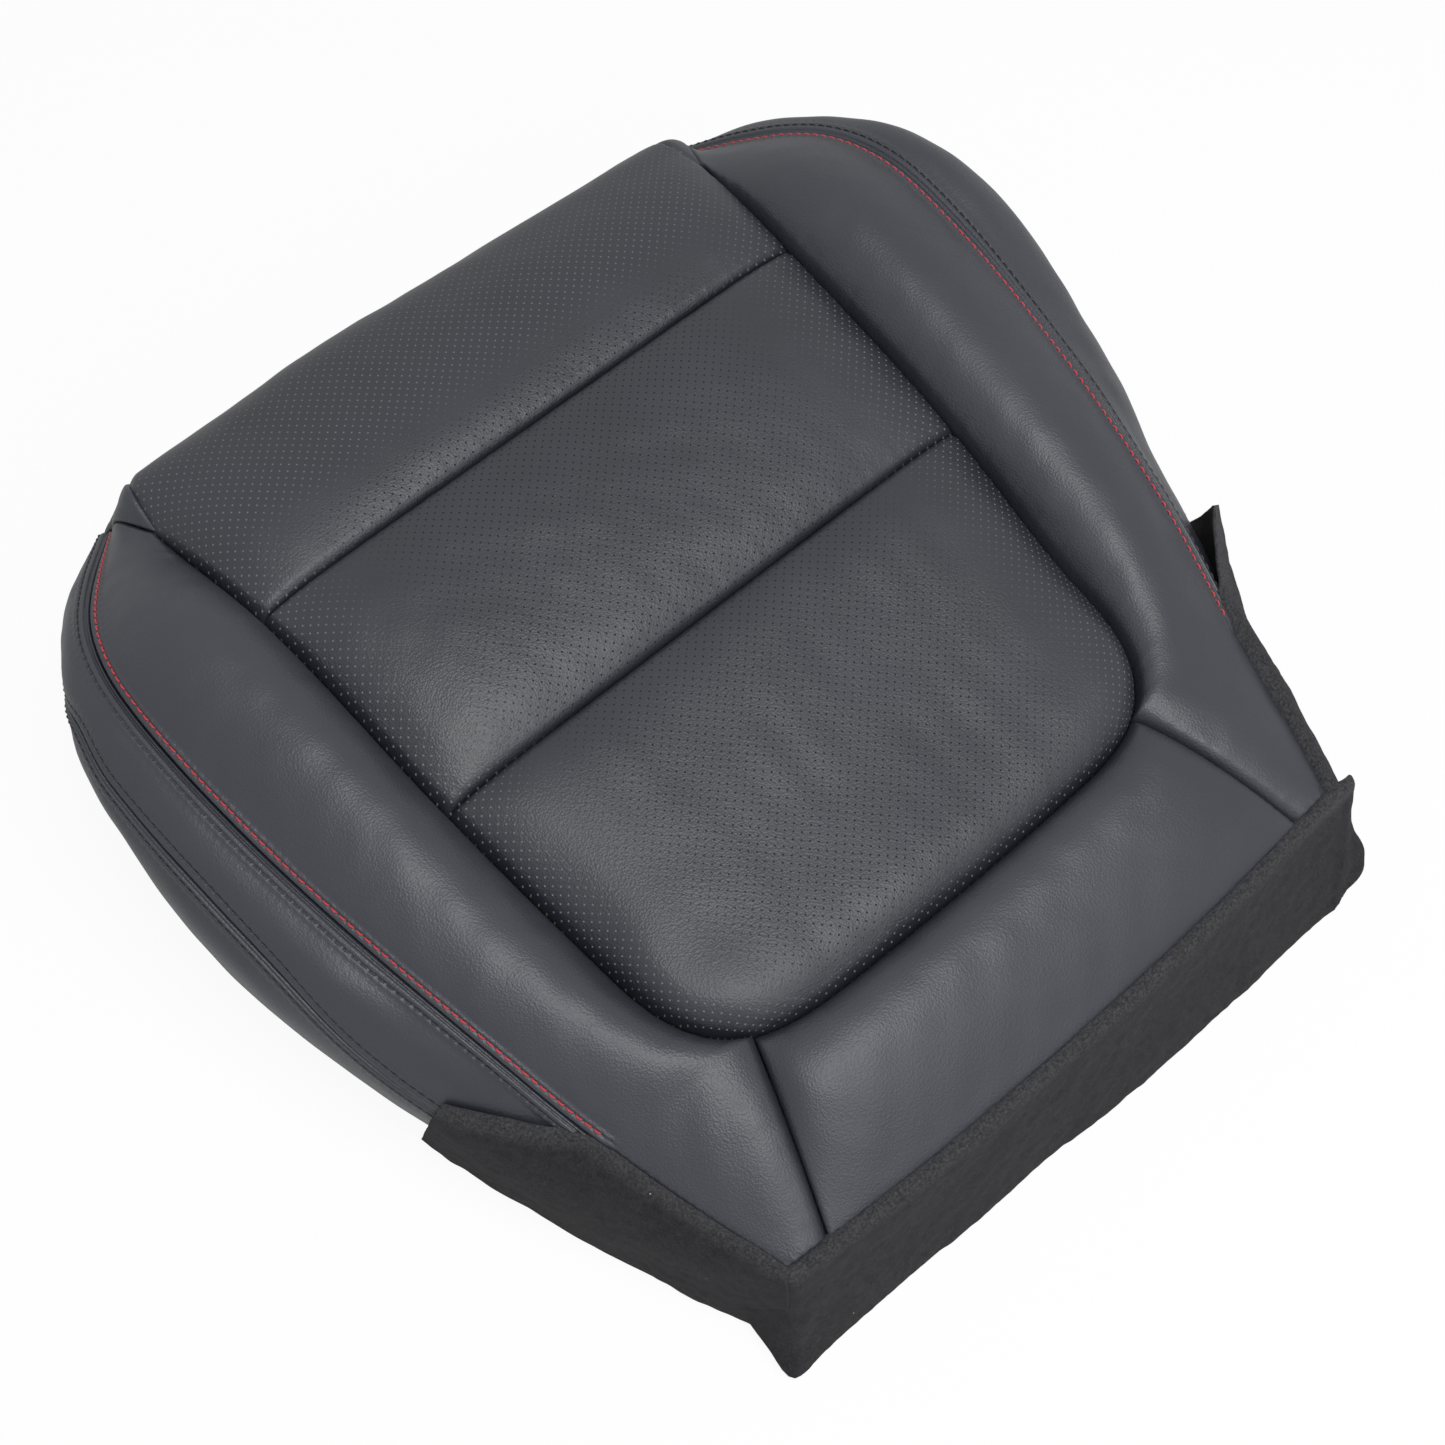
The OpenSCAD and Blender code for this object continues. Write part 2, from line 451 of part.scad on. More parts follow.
// free front end of each side flap: drop of its top corner, lean back and flare
left_end = [0.62, 0.045, 0];
right_end = [0.17, 0.085, 21];
flap_s = concat([for (i = [0:3]) lerp(s_flap, s_sewn, i / 4)],
                [for (i = [0:7]) lerp(s_sewn, 2, i / 7)]);
flap_j = [0, 0.15, 0.35, 0.6, 0.8, 1];
// inner face of a side flap: follows the side to its widest line, then falls to the floor
function flap_d(s, w) =
    let (g = lerp(edge_gap, felt_gap, ramp(w * 1.5)), d = side_d(s, 1) + felt_gap,
         o = lerp(flap_out_front, flap_out_rear, (s - s_flap) / (2 - s_flap)))
    w <= 1 ? side_d(s, w) + g : lerp(d, max(o, 0), ramp(w - 1) * 0.5 + (w - 1) * 0.5);
function flap_z(s, w) = w <= 1 ? side_z(s, w) : lerp(side_z(s, 1), felt_lift, w - 1);
function flap_pt(at, j, end) =
    let (k = clamp01((s_sewn - at) / (s_sewn - s_flap)), s = at + end[1] * k * (1 - j),
         w = lerp(end[0] * k, 2, j), p = seam_pt(s), n = seam_out(s),
         d = flap_d(s, w) + end[2] * pow(k, 1.5) * (1 - 0.6 * j))
    [p[0] + n[0] * d, p[1] + n[1] * d, flap_z(s, w)];
function flap_grid(end) = [for (s = flap_s) [for (j = flap_j)
    node_pt(flap_pt(s, j, end), seam_out(s))]];
module felt_sheet(g) solid(shell(inner(g, felt_t), outer(g)));
module left_felt_flap() color(felt) felt_sheet(flap_grid(left_end));
module right_felt_flap() color(felt) felt_sheet(left_of(flap_grid(right_end)));
skirt_x = [for (i = [-9:9]) i / 9];
skirt_w = [0, 0.2, 0.45, 0.72, 1];
function skirt_pt(u, w) =
    let (x = u * (rear_w / 2 + lerp(-2, skirt_spread, w)), e = min(abs(x), rear_w / 2))
    [x, hem_y(e) + edge_gap + lerp(0, skirt_out - edge_gap, w) + (hem_y(0) - hem_y(e)) * w * 0.75,
     lerp(hem_z, felt_lift, w)];
module rear_felt_flap() color(felt)
    felt_sheet([for (w = skirt_w) [for (u = skirt_x) node_pt(skirt_pt(u, w), [0, 1, 0])]]);

// ---- hook strips sewn inside the lower hem ----
seat_gap = 0.5;
function hook_ring(p, q, d) =
    let (a = p + d * (leather_t + seat_gap), b = q + d * (leather_t + seat_gap), u = [0, 0, 1], t = hook_t)
    [for (c = [a, a + d * hook_reach, a + d * hook_reach + u * hook_h,
               a + d * (hook_reach - t) + u * hook_h, a + d * (hook_reach - t) + u * t,
               a + d * t + u * t, b + d * t, b]) rp(c)];
function hook_cap(r, back = false) =
    [for (q = [[0, 1, 4, 5], [1, 2, 3, 4], [0, 5, 6, 7]])
        each back ? [[r[q[0]], r[q[1]], r[q[2]]], [r[q[0]], r[q[2]], r[q[3]]]]
        : [[r[q[0]], r[q[2]], r[q[1]]], [r[q[0]], r[q[3]], r[q[2]]]]];
module hook_strip(rings) {
    n = len(rings) - 1;
    solid(concat(hook_cap(rings[0], true), hook_cap(rings[n]),
        [for (i = [0:n - 1]) for (j = [0:7])
            let (a = rings[i][j], b = rings[i][(j + 1) % 8], c = rings[i + 1][(j + 1) % 8], d = rings[i + 1][j])
            each [[a, c, b], [a, d, c]]]));
}
function side_hook(k) = let (s = rungs[k][1], d = side_in(s, 2), p = side_pt(s, 2))
    hook_ring(p, lerp(p, side_pt(s, w_hook), 0.4), d);
module left_hook_strip() color("#1b1b1b") hook_strip([for (k = [6:19]) side_hook(k)]);
module right_hook_strip() color("#1b1b1b") mirror([1, 0, 0]) left_hook_strip();
module front_hook_strip() color("#1b1b1b") hook_strip([for (u = [for (i = [-6:6]) i / 8])
    let (v = v_f + (1 - v_f) * w_hook / 2, d = [0, 1, 0], p = front_pt(u, 1))
    hook_ring(p, lerp(p, front_pt(u, v), 0.4), d)]);

// ---- tie-down wires and hog rings in the trenches ----
steel = "#8d9196";
function wire_ring(p, d) = [for (i = [0:5]) rp(p + wire_d / 2 * (cos(60 * i) * d + sin(60 * i) * [0, 0, 1]))];
module wire(path) {
    n = len(path) - 1;
    g = [for (i = [0:n]) let (t = unit(flat(path[min(n, i + 1)]) - flat(path[max(0, i - 1)])))
         wire_ring(path[i], [t[1], -t[0], 0])];
    solid(concat(
        [for (j = [1:4]) [g[0][0], g[0][j + 1], g[0][j]]],
        [for (j = [1:4]) [g[n][0], g[n][j], g[n][j + 1]]],
        [for (i = [0:n - 1]) for (j = [0:5])
            let (a = g[i][j], b = g[i][(j + 1) % 6], c = g[i + 1][(j + 1) % 6], d = g[i + 1][j])
            each [[a, b, c], [a, c, d]]]));
}
function below(p, d) = p - [0, 0, leather_t + d];
function cross_path(y, d) = [for (u = cols) if (abs(u) < 0.9) below(insert_pt(u * ease(side_st, y), y), d)];
function side_path(d) = [for (k = [1:rung_d - 2]) below(rungs[k][0], d)];
function back_path(d) = [for (u = cols) if (abs(u) < 0.9)
    let (g = groove_back(u)) below([g[0], g[1], groove_z(g[1])], d)];
module front_listing_wire() color(steel) wire(cross_path(y_s1, wire_depth));
module middle_listing_wire() color(steel) wire(cross_path(y_s2, wire_depth));
module rear_listing_wire() color(steel) wire(back_path(wire_depth));
module left_listing_wire() color(steel) wire(side_path(wire_depth));
module right_listing_wire() color(steel) mirror([1, 0, 0]) left_listing_wire();
module front_foam_wire() color(steel) wire(cross_path(y_s1, low_wire_depth));
module middle_foam_wire() color(steel) wire(cross_path(y_s2, low_wire_depth));
module rear_foam_wire() color(steel) wire(back_path(low_wire_depth));
module left_foam_wire() color(steel) wire(side_path(low_wire_depth));
module right_foam_wire() color(steel) mirror([1, 0, 0]) left_foam_wire();
module hog_ring(p, a) translate([p[0], p[1] - y_mid, p[2]]) rotate([0, 0, a]) rotate([0, 90, 0])
    rotate_extrude(angle = 335, $fn = 24) translate([(ring_d - ring_wire) / 2, 0]) circle(d = ring_wire, $fn = 16);
ring_depth = (wire_depth + low_wire_depth) / 2;
ring_u = [-0.66, -0.22, 0.22, 0.66];
ring_k = [3, 6, 9, 12, 15];
module hog_rings() color(steel) {
    for (y = [y_s1, y_s2], u = ring_u)
        hog_ring(below(insert_pt(u * ease(side_st, y), y), ring_depth), 0);
    for (u = ring_u)
        let (g = groove_back(u)) hog_ring(below([g[0], g[1], groove_z(g[1])], ring_depth), 0);
    for (k = ring_k)
        let (t = flat(rungs[k + 1][0]) - flat(rungs[k - 1][0]), p = below(rungs[k][0], ring_depth)) {
            hog_ring(p, atan2(t[1], t[0]));
            hog_ring(flip(p), atan2(t[1], -t[0]));
        }
}

foam_bun();
insert_front_panel();
insert_middle_panel();
insert_rear_panel();
left_bolster_panel();
right_bolster_panel();
left_wing_panel();
right_wing_panel();
rear_panel();
front_facing();
left_upper_side_facing();
right_upper_side_facing();
left_lower_side_facing();
right_lower_side_facing();
rear_felt_flap();
left_felt_flap();
right_felt_flap();
front_hook_strip();
left_hook_strip();
right_hook_strip();
front_listing_wire();
middle_listing_wire();
rear_listing_wire();
left_listing_wire();
right_listing_wire();
front_foam_wire();
middle_foam_wire();
rear_foam_wire();
left_foam_wire();
right_foam_wire();
hog_rings();
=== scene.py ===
"""Front-seat bottom cushion: sewn leather cover, felt tuck flaps, threads and finishes round the CAD frame.
Lengths are millimetres with y = 0 at the front face, until to_metres() puts them in the frame's own axes."""

import math

import bpy
import numpy as np
from mathutils import Matrix


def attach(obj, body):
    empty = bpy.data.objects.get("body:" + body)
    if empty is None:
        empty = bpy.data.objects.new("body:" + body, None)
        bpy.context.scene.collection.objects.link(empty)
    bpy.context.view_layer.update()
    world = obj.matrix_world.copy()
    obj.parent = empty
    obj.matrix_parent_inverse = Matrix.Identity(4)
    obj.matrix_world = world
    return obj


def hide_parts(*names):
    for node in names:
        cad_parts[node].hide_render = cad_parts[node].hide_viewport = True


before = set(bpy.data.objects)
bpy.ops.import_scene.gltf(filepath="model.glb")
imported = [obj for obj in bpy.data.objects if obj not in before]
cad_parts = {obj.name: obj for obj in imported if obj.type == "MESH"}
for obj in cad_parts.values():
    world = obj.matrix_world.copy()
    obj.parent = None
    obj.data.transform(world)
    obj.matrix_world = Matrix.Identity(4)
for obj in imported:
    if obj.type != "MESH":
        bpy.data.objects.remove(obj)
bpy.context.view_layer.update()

# ---- sizes, as in the CAD source
FRONT_LEN, GROOVE_FRONT, MID_LEN, REAR_LEN, REAR_PANEL_LEN = 128, 75, 128, 173.5, 80
INSERT_W_FRONT, INSERT_W_SEAM1, INSERT_W_SEAM2, INSERT_W_REAR, INSERT_CORNER = 345, 329, 317, 299, 72
BOLSTER_W, BOLSTER_W_FRONT, REAR_W, DIAGONAL_W = 476, 360, 346, 300
GROOVE_Z_FRONT, GROOVE_Z_SEAM1, GROOVE_Z_SEAM2, GROOVE_Z_REAR = 123.6, 130.6, 114.6, 92
SEAM_Z_FRONT, SEAM_Z_TOP, SEAM_Z_FLAP, HEM_Z = 83, 134.5, 82, 65.5
SEAM_RISE, INSERT_CROWN, BOLSTER_CROWN, REAR_CROWN = 5.5, 10, 28, 14
SIDE_BULGE_FRONT, SIDE_BULGE_MID, SIDE_BULGE_REAR, SIDE_DROP, HEM_LIFT = 18, 38, 9, 42, 2
SHOULDER_SLOPE, LAP_SLOPE = 8, 36
FELT_T, FELT_GAP, SKIRT_OUT, FELT_LIFT, FLAP_OUT_FRONT, FLAP_OUT_REAR = 3, 2, 24, 3, 27, 15
EDGE_GAP, SKIRT_SPREAD = 0.7, 14
# free front end of each side flap: drop of its top corner, lean back, flare, and how close it lies below
LEFT_END, RIGHT_END = (0.62, 0.045, 0, 0), (0.17, 0.085, 14, 2.5)
LEFT_TAIL = (-12, 12, 0)  # low rear corner of the left flap, drawn in behind the rear flap
# A flap's sewn edge, from its raw edge (0) down the fall: how far it is turned in under the
# leather hem (outwards, upwards) and rolled up beside it.
SEWN_TURN = [
    (0, (-3.8, -5.2)), (0.02, (-0.9, -0.35)), (0.045, (-0.15, 2.0)), (0.08, (0.6, 2.0)), (0.14, (0.6, 1.4)),
    (0.25, (0, 0)), (1, (0, 0))]
UNDER_HEM = 6  # length of felt hidden by that turn
SEWN_SHARE = 0.5  # of a felt flap's thickness left where the seam presses it
LEATHER_SHOWN = 1.6  # thickness of the leather itself, without its laminated backing
HEM_BOW, INSERT_BOW = 8, 1.5  # how far the rear hem and the insert's rear edge curve forward at their ends
REAR_RISE = 24  # rise of the rear panel between groove and hem

Y_WING = FRONT_LEN - GROOVE_FRONT
Y_SEAM1 = FRONT_LEN
Y_SEAM2 = Y_SEAM1 + MID_LEN
Y_INSERT = Y_SEAM2 + REAR_LEN
Y_HEM = Y_INSERT + REAR_PANEL_LEN
Y_MID = (Y_HEM + SKIRT_OUT + FELT_T) / 2
Y_CORNER = Y_INSERT - INSERT_CORNER - 6
# places along the outer seam: 0..1 round the front bend, 1..2 down the rear run
S_SEAM1, S_SEAM2, S_DIAGONAL, S_FLAP, S_SEWN = 0.806, 1.296, 1.768, 1.515, 1.72
V_WING, W_FRONT, W_SEAM, W_HOOK = 0.36, 0.45, 0.85, 1.62
V_FRONT = V_WING + (1 - V_WING) * W_FRONT / 2
GROOVE_SOFT, ROLL_SOFT, INSERT_REAR_SOFT, GROOVE_W, WING_FADE, CORNER_T = 15, 9, 6.5, 14, 9, 0.66
STITCH_PITCH = 5.0


def to_metres(p):
    return (np.asarray(p, float) - [0, Y_MID, 0]) / 1000


# ---- curves
def held(a):
    return np.clip(a, 0, 1)


def ramp(a):
    c = held(a)
    return c * c * (3 - 2 * c)


def mix(a, b, t):
    return a + (b - a) * t


def lifted(p, z):
    """Points over the same plan at another height."""
    return stack(p[..., 0], p[..., 1], z)


def unit(v):
    return v / np.maximum(np.linalg.norm(v, axis=-1, keepdims=True), 1e-9)


def stack(*parts):
    return np.stack(np.broadcast_arrays(*parts), axis=-1)


def ease(stations, v):
    """Smooth curve through stations (place, value), where a value is a number or a point."""
    at = np.array([s[0] for s in stations], float)
    val = np.array([s[1] for s in stations], float)
    point = val.ndim > 1
    gap = np.diff(at)[:, None] if point else np.diff(at)
    chord = np.diff(val, axis=0) / gap
    slope = np.concatenate(
        [chord[:1], (chord[:-1] * gap[1:] + chord[1:] * gap[:-1]) / (gap[1:] + gap[:-1]), chord[-1:]])
    v = np.asarray(v, float)
    i = np.clip(np.searchsorted(at, v) - 1, 0, len(at) - 2)
    h = at[i + 1] - at[i]
    s = held((v - at[i]) / h)
    if point:
        h, s = h[..., None], s[..., None]
    a, b = s ** 3, s ** 2
    return (
        val[i] * (2 * a - 3 * b + 1) + slope[i] * h * (a - 2 * b + s) + val[i + 1] * (3 * b - 2 * a) + slope[i
        + 1] * h * (a - b))


def bezier(p, t):
    t = np.asarray(t, float)
    p = [np.asarray(q, float) for q in p]
    if p[0].shape == (2,):
        t = t[..., None]
    q = 1 - t
    return q ** 3 * p[0] + 3 * q * q * t * p[1] + 3 * q * t * t * p[2] + t ** 3 * p[3]


# ---- groove round the insert
side_stations = [
    (Y_WING, INSERT_W_FRONT / 2), (Y_SEAM1, INSERT_W_SEAM1 / 2), (Y_SEAM2, INSERT_W_SEAM2 / 2),
    (Y_CORNER, INSERT_W_REAR / 2)]
corner_a = np.array([INSERT_W_REAR / 2, Y_CORNER])
corner_b = np.array([INSERT_W_REAR / 2 - INSERT_CORNER, Y_INSERT - INSERT_BOW])
corner_k = np.array([INSERT_W_REAR / 2 - 3.5, Y_INSERT - 4.5])
corner = [corner_a, mix(corner_a, corner_k, 0.75), mix(corner_b, corner_k, 0.75), corner_b]
groove_stations = [
    (Y_WING, GROOVE_Z_FRONT), (Y_SEAM1, GROOVE_Z_SEAM1), ((Y_SEAM1 + Y_SEAM2) / 2, mix(GROOVE_Z_SEAM1,
    GROOVE_Z_SEAM2, 0.36)), (Y_SEAM2, GROOVE_Z_SEAM2), (Y_SEAM2 + REAR_LEN / 2, mix(GROOVE_Z_SEAM2,
    GROOVE_Z_REAR, 0.8)), (Y_INSERT, GROOVE_Z_REAR)]
SPLIT_SIDE = (Y_CORNER - Y_SEAM2) / (Y_CORNER - Y_SEAM2 + INSERT_CORNER * 1.05)
SPLIT_BACK = 0.376


def groove_z(y):
    return ease(groove_stations, y)


def half_insert(y):
    return ease(side_stations, y)


def groove_rear_side(f):
    y = mix(Y_SEAM2, Y_CORNER, held(f / SPLIT_SIDE))
    straight = stack(half_insert(y), y)
    bend = bezier(corner, CORNER_T * held((f - SPLIT_SIDE) / (1 - SPLIT_SIDE)))
    return np.where((f < SPLIT_SIDE)[..., None], straight, bend)


def groove_back(u):
    u = np.asarray(u, float)
    q = 1 - np.abs(u)
    bend = bezier(corner, CORNER_T + (1 - CORNER_T) * held(q / SPLIT_BACK))
    x = corner_b[0] * (1 - held((q - SPLIT_BACK) / (1 - SPLIT_BACK)))
    straight = stack(x, Y_INSERT - INSERT_BOW * (x / corner_b[0]) ** 2)
    p = np.where((q < SPLIT_BACK)[..., None], bend, straight)
    return stack(np.where(u < 0, -1, 1) * p[..., 0], p[..., 1])


def on_groove(p):
    return lifted(p, groove_z(p[..., 1]))


side_run = np.linspace(Y_WING, Y_SEAM2, 30)
groove_loop = np.concatenate(
    [stack(half_insert(side_run), side_run), groove_rear_side(np.linspace(0, 1, 50))[1:],
    groove_back(np.linspace(1, 0, 30))[1:]])


def loop_dist(x, y):
    """Plan distance from a point to the groove round the insert."""
    q = stack(np.abs(x), y)
    best = np.full(q.shape[:-1], 1e9)
    for a, b in zip(groove_loop[:-1], groove_loop[1:]):
        d = b - a
        t = held(((q - a) @ d) / (d @ d))
        best = np.minimum(best, np.linalg.norm(q - a - t[..., None] * d, axis=-1))
    return best


centre_stations = [
    (Y_WING, GROOVE_Z_SEAM1 + SEAM_RISE - 4), (Y_SEAM1 - 44, GROOVE_Z_SEAM1 + SEAM_RISE - 1),
    (Y_SEAM1, GROOVE_Z_SEAM1 + SEAM_RISE), (Y_SEAM2, GROOVE_Z_SEAM2 + SEAM_RISE),
    (Y_SEAM2 + REAR_LEN * 0.45, GROOVE_Z_REAR + 15), (Y_INSERT, GROOVE_Z_REAR + 6)]


def swell(d):
    return 1 - np.exp(-np.maximum(d, 0) / GROOVE_SOFT)


def pillow(y):
    front = 0.9 * swell(Y_SEAM1 - y)
    middle = 0.9 * swell(y - Y_SEAM1) * swell(Y_SEAM2 - y)
    return INSERT_CROWN * np.where(y < Y_SEAM1, front, np.where(y < Y_SEAM2, middle, swell(y - Y_SEAM2)))


def centre_z(y):
    return ease(centre_stations, y) + pillow(y)


def insert_point(x, y):
    rear = ramp((y - Y_SEAM2 - 60) / 70)
    rise = (centre_z(y) - groove_z(y)) * (1 - 0.12 * rear)
    soft = mix(GROOVE_SOFT, INSERT_REAR_SOFT, rear)
    return stack(x, y, groove_z(y) + rise * (1 - np.exp(-loop_dist(x, y) / soft)))


# ---- outer seam, bolster and side
seam_a = [
    (BOLSTER_W_FRONT / 2, 11), (BOLSTER_W_FRONT / 2 + 41.5, 64), (BOLSTER_W / 2, 86),
    (BOLSTER_W / 2, Y_SEAM1 + MID_LEN * 0.1406)]
seam_b = [
    seam_a[-1], (BOLSTER_W / 2, Y_SEAM1 + MID_LEN * 0.9219), (REAR_W / 2 + 35, Y_HEM - 114),
    (REAR_W / 2, Y_HEM - HEM_BOW)]
seam_stations = [
    (11, SEAM_Z_FRONT), (46, mix(SEAM_Z_FRONT, SEAM_Z_TOP, 0.5)), (75, mix(SEAM_Z_FRONT, SEAM_Z_TOP, 0.82)),
    (Y_SEAM1 - 11, SEAM_Z_TOP)]
seam_stations += [
    (y, mix(SEAM_Z_TOP, SEAM_Z_FLAP, k)) for y, k in ((Y_SEAM1 + MID_LEN * 0.3828, 0.076),
    (Y_SEAM1 + MID_LEN * 0.8281, 0.238), (Y_SEAM2 + 33, 0.4), (Y_SEAM2 + 91, 0.63))]
seam_stations += [(Y_HEM - 104, SEAM_Z_FLAP), (Y_HEM - HEM_BOW, HEM_Z)]


def seam_plan(s):
    s = np.asarray(s, float)
    front, rear = bezier(seam_a, held(s)), bezier(seam_b, held(s - 1))
    return np.where((s <= 1)[..., None], front, rear)


def seam_point(s):
    p = seam_plan(s)
    return lifted(p, ease(seam_stations, p[..., 1]))


def seam_out(s):
    d = unit(seam_plan(np.minimum(2, s + 0.004)) - seam_plan(np.maximum(0, s - 0.004)))
    return stack(d[..., 1], -d[..., 0], 0 * d[..., 0])


def hem_y(x):
    return Y_HEM - HEM_BOW * (np.abs(x) / (REAR_W / 2)) ** 2.4


diagonal_in = on_groove(bezier(corner, np.array(CORNER_T)))
diagonal_out = np.array([DIAGONAL_W / 2, hem_y(DIAGONAL_W / 2), HEM_Z])


def diagonal(f):
    f = f[..., None]
    return mix(diagonal_in, diagonal_out, f) + np.array([0, 0, REAR_RISE]) * f * (1 - f)


def inner_run(q):
    """Inner edge of a bolster, q 0..4: beside the front, middle and rear insert, then the diagonal seam."""
    y1, y2 = mix(Y_WING, Y_SEAM1, held(q)), mix(Y_SEAM1, Y_SEAM2, held(q - 1))
    y = np.where(q < 1, y1, y2)
    side = on_groove(stack(half_insert(y), y))
    rear = on_groove(groove_rear_side(held(q - 2)))
    tail = diagonal(held(q - 3))
    return np.where((q < 2)[..., None], side, np.where((q < 3)[..., None], rear, tail))


run_q = np.linspace(0, 4, 801)
run_len = np.concatenate([[0], np.cumsum(np.linalg.norm(np.diff(inner_run(run_q), axis=0), axis=1))])
run_marks = np.interp([0, 1, 2, 3, 4], run_q, run_len)
outer_place = list(zip(run_marks, [0, S_SEAM1, S_SEAM2, S_DIAGONAL, 2]))
crown_stations = [
    (0, 3), (0.25, 9), (0.55, 0.7 * BOLSTER_CROWN), (1, BOLSTER_CROWN - 1), (1.3, BOLSTER_CROWN),
    (1.6, 0.86 * BOLSTER_CROWN), (S_DIAGONAL, BOLSTER_CROWN / 2), (2, 6)]
wing_stations = [
    (0, (INSERT_W_FRONT / 2, Y_WING, GROOVE_Z_FRONT)), (0.2, (BOLSTER_W_FRONT / 2 + 1, 25, mix(GROOVE_Z_FRONT,
    SEAM_Z_FRONT, 0.36))), (V_WING, tuple(seam_point(0.0)))]


def bolster_plain(length, t):
    a = inner_run(np.interp(length, run_len, run_q))
    s = ease(outer_place, length)
    b = seam_point(s)
    span = np.linalg.norm((b - a)[..., :2], axis=-1)
    z = ease(crown_stations, s) * (1 - np.exp(-t * span / GROOVE_W)) * (1 - t ** 2.4)
    p = mix(a, b, t[..., None])
    return lifted(p, p[..., 2] + z)


def bolster_point(length, t):
    """Bolster surface: length runs down the groove in millimetres, t 0..1 from groove to outer seam."""
    p = bolster_plain(length, t)
    front = ease(wing_stations, V_WING * t) - bolster_plain(np.zeros_like(t), t)
    return p + front * np.exp(-length / WING_FADE)[..., None]


bulge_stations = [(0, SIDE_BULGE_FRONT * 0.5), (0.25, SIDE_BULGE_FRONT)]
bulge_stations += [
    (s, mix(SIDE_BULGE_FRONT, SIDE_BULGE_MID, k)) for s, k in ((0.55, 0.12), (0.8, 0.53), (1, 0.82))]
bulge_stations += [
    (1.2, SIDE_BULGE_MID), (1.5, SIDE_BULGE_MID * 0.79), (1.75, SIDE_BULGE_MID * 0.52), (2, SIDE_BULGE_REAR)]
drop_stations = [
    (s, SIDE_DROP * k) for s, k in ((0, 0.57), (0.3, 0.67), (1, 0.72), (1.25, 0.95), (1.5, 1.14),
    (1.75, 1.05), (2, 0.9))]
slope_stations = [
    (0, 20), (0.3, SHOULDER_SLOPE), (1, SHOULDER_SLOPE), (1.3, LAP_SLOPE * 0.75), (1.5, LAP_SLOPE),
    (2, LAP_SLOPE)]


def side_reach(s, w):
    d = ease(bulge_stations, s)
    half, foot = 0.5 * d, np.minimum(d, 5)
    upper = bezier([0 * d, half, d, d], held(w))
    lower = bezier([d, d, foot + 0.55 * (d - foot), foot], held(w - 1))
    return np.where(w <= 1, upper, lower)


def side_z(s, w):
    z, h = seam_point(s)[..., 2], ease(drop_stations, s)
    lead = 0.5 * ease(bulge_stations, s) * np.tan(np.radians(ease(slope_stations, s)))
    upper = bezier([z, z - lead, z - 0.5 * h, z - h], held(w))
    lower = bezier([z - h, z - h - 0.45 * (z - h), 0.28 * (z - h), HEM_LIFT + 0 * z], held(w - 1))
    return np.where(w <= 1, upper, lower)


def side_point(s, w):
    """Side surface: s along the outer seam, w 0..1 from that seam to the widest line, 1..2 down to the hem."""
    p, n, d = seam_point(s), seam_out(s), side_reach(s, w)
    return stack(p[..., 0] + n[..., 0] * d, p[..., 1] + n[..., 1] * d, side_z(s, w))


# the lower side seam along the cushion, as a share of its height at the front corner
low_seam_left = [
    (0, 1), (0.5, 1.06), (0.68, 0.94), (0.8, 0.73), (1, 0.7), (1.2, 0.61), (1.32, 0.66), (1.5, 0.89),
    (S_DIAGONAL, 0.94)]
# on the right it sags lower, out of sight from above
low_seam_right = [(0, 1), (0.3, 1.12), (0.5, 1.24), (0.8, 1.3), (1.2, 1.28), (1.5, 1.14), (S_DIAGONAL, 1)]


def side_w(s, w, low_seam):
    """Place down the side, measured so that the lower side seam is always at W_SEAM."""
    k = ease(low_seam, s)
    below = mix(W_SEAM * k, W_HOOK, (w - W_SEAM) / (W_HOOK - W_SEAM))
    return np.where(w <= W_SEAM, w * k, np.where(w >= W_HOOK, w, below))


# ---- front roll
roll_stations = [
    (0, (Y_WING, centre_z(Y_WING))), (0.2, (24.5, centre_z(Y_WING) - 10.5)), (V_WING, (7.5,
    SEAM_Z_FRONT + 21)), (0.5, (1, SEAM_Z_FRONT - 3)), (0.66, (0, 56)), (0.84, (2, 26)), (1, (6, HEM_LIFT))]
insert_edge_stations = [(0, 1), (0.2, 0.925), (V_WING, 0.89), (V_FRONT, 0.87), (1, 0.87)]


def edge_point(v):
    low = side_point(0 * v, np.clip(2 * (v - V_WING) / (1 - V_WING), 0, 2))
    return np.where((v <= V_WING)[..., None], ease(wing_stations, np.minimum(v, V_WING)), low)


def front_point(u, v):
    """Front roll: u -1..1 across, v 0..1 from the top of the groove down to the hem."""
    e, c = edge_point(v), ease(roll_stations, v)
    x = u * e[..., 0]
    b = 1 - np.exp(-np.maximum(e[..., 0] - np.abs(x), 0) / mix(GROOVE_SOFT, ROLL_SOFT, ramp(v / 0.2)))
    return stack(x, mix(e[..., 1], c[..., 0], b), mix(e[..., 2], c[..., 1], b))


def rear_point(u, t):
    """Plain panel behind the insert: u -1..1 between the diagonal seams, t 0..1 from the groove to the hem."""
    a = on_groove(groove_back(u))
    x = u * diagonal_out[0]
    b = stack(x, hem_y(x), HEM_Z + 0 * x)
    away = 1 - np.exp(-(1 - np.abs(u)) * diagonal_out[0] / GROOVE_W)
    span = np.linalg.norm(b - a, axis=-1)
    z = REAR_RISE * t * (1 - t) + REAR_CROWN * (1 - np.exp(-t * span / GROOVE_W)) * (1 - t ** 2.2) * away
    p = mix(a, b, t[..., None])
    return lifted(p, p[..., 2] + z)


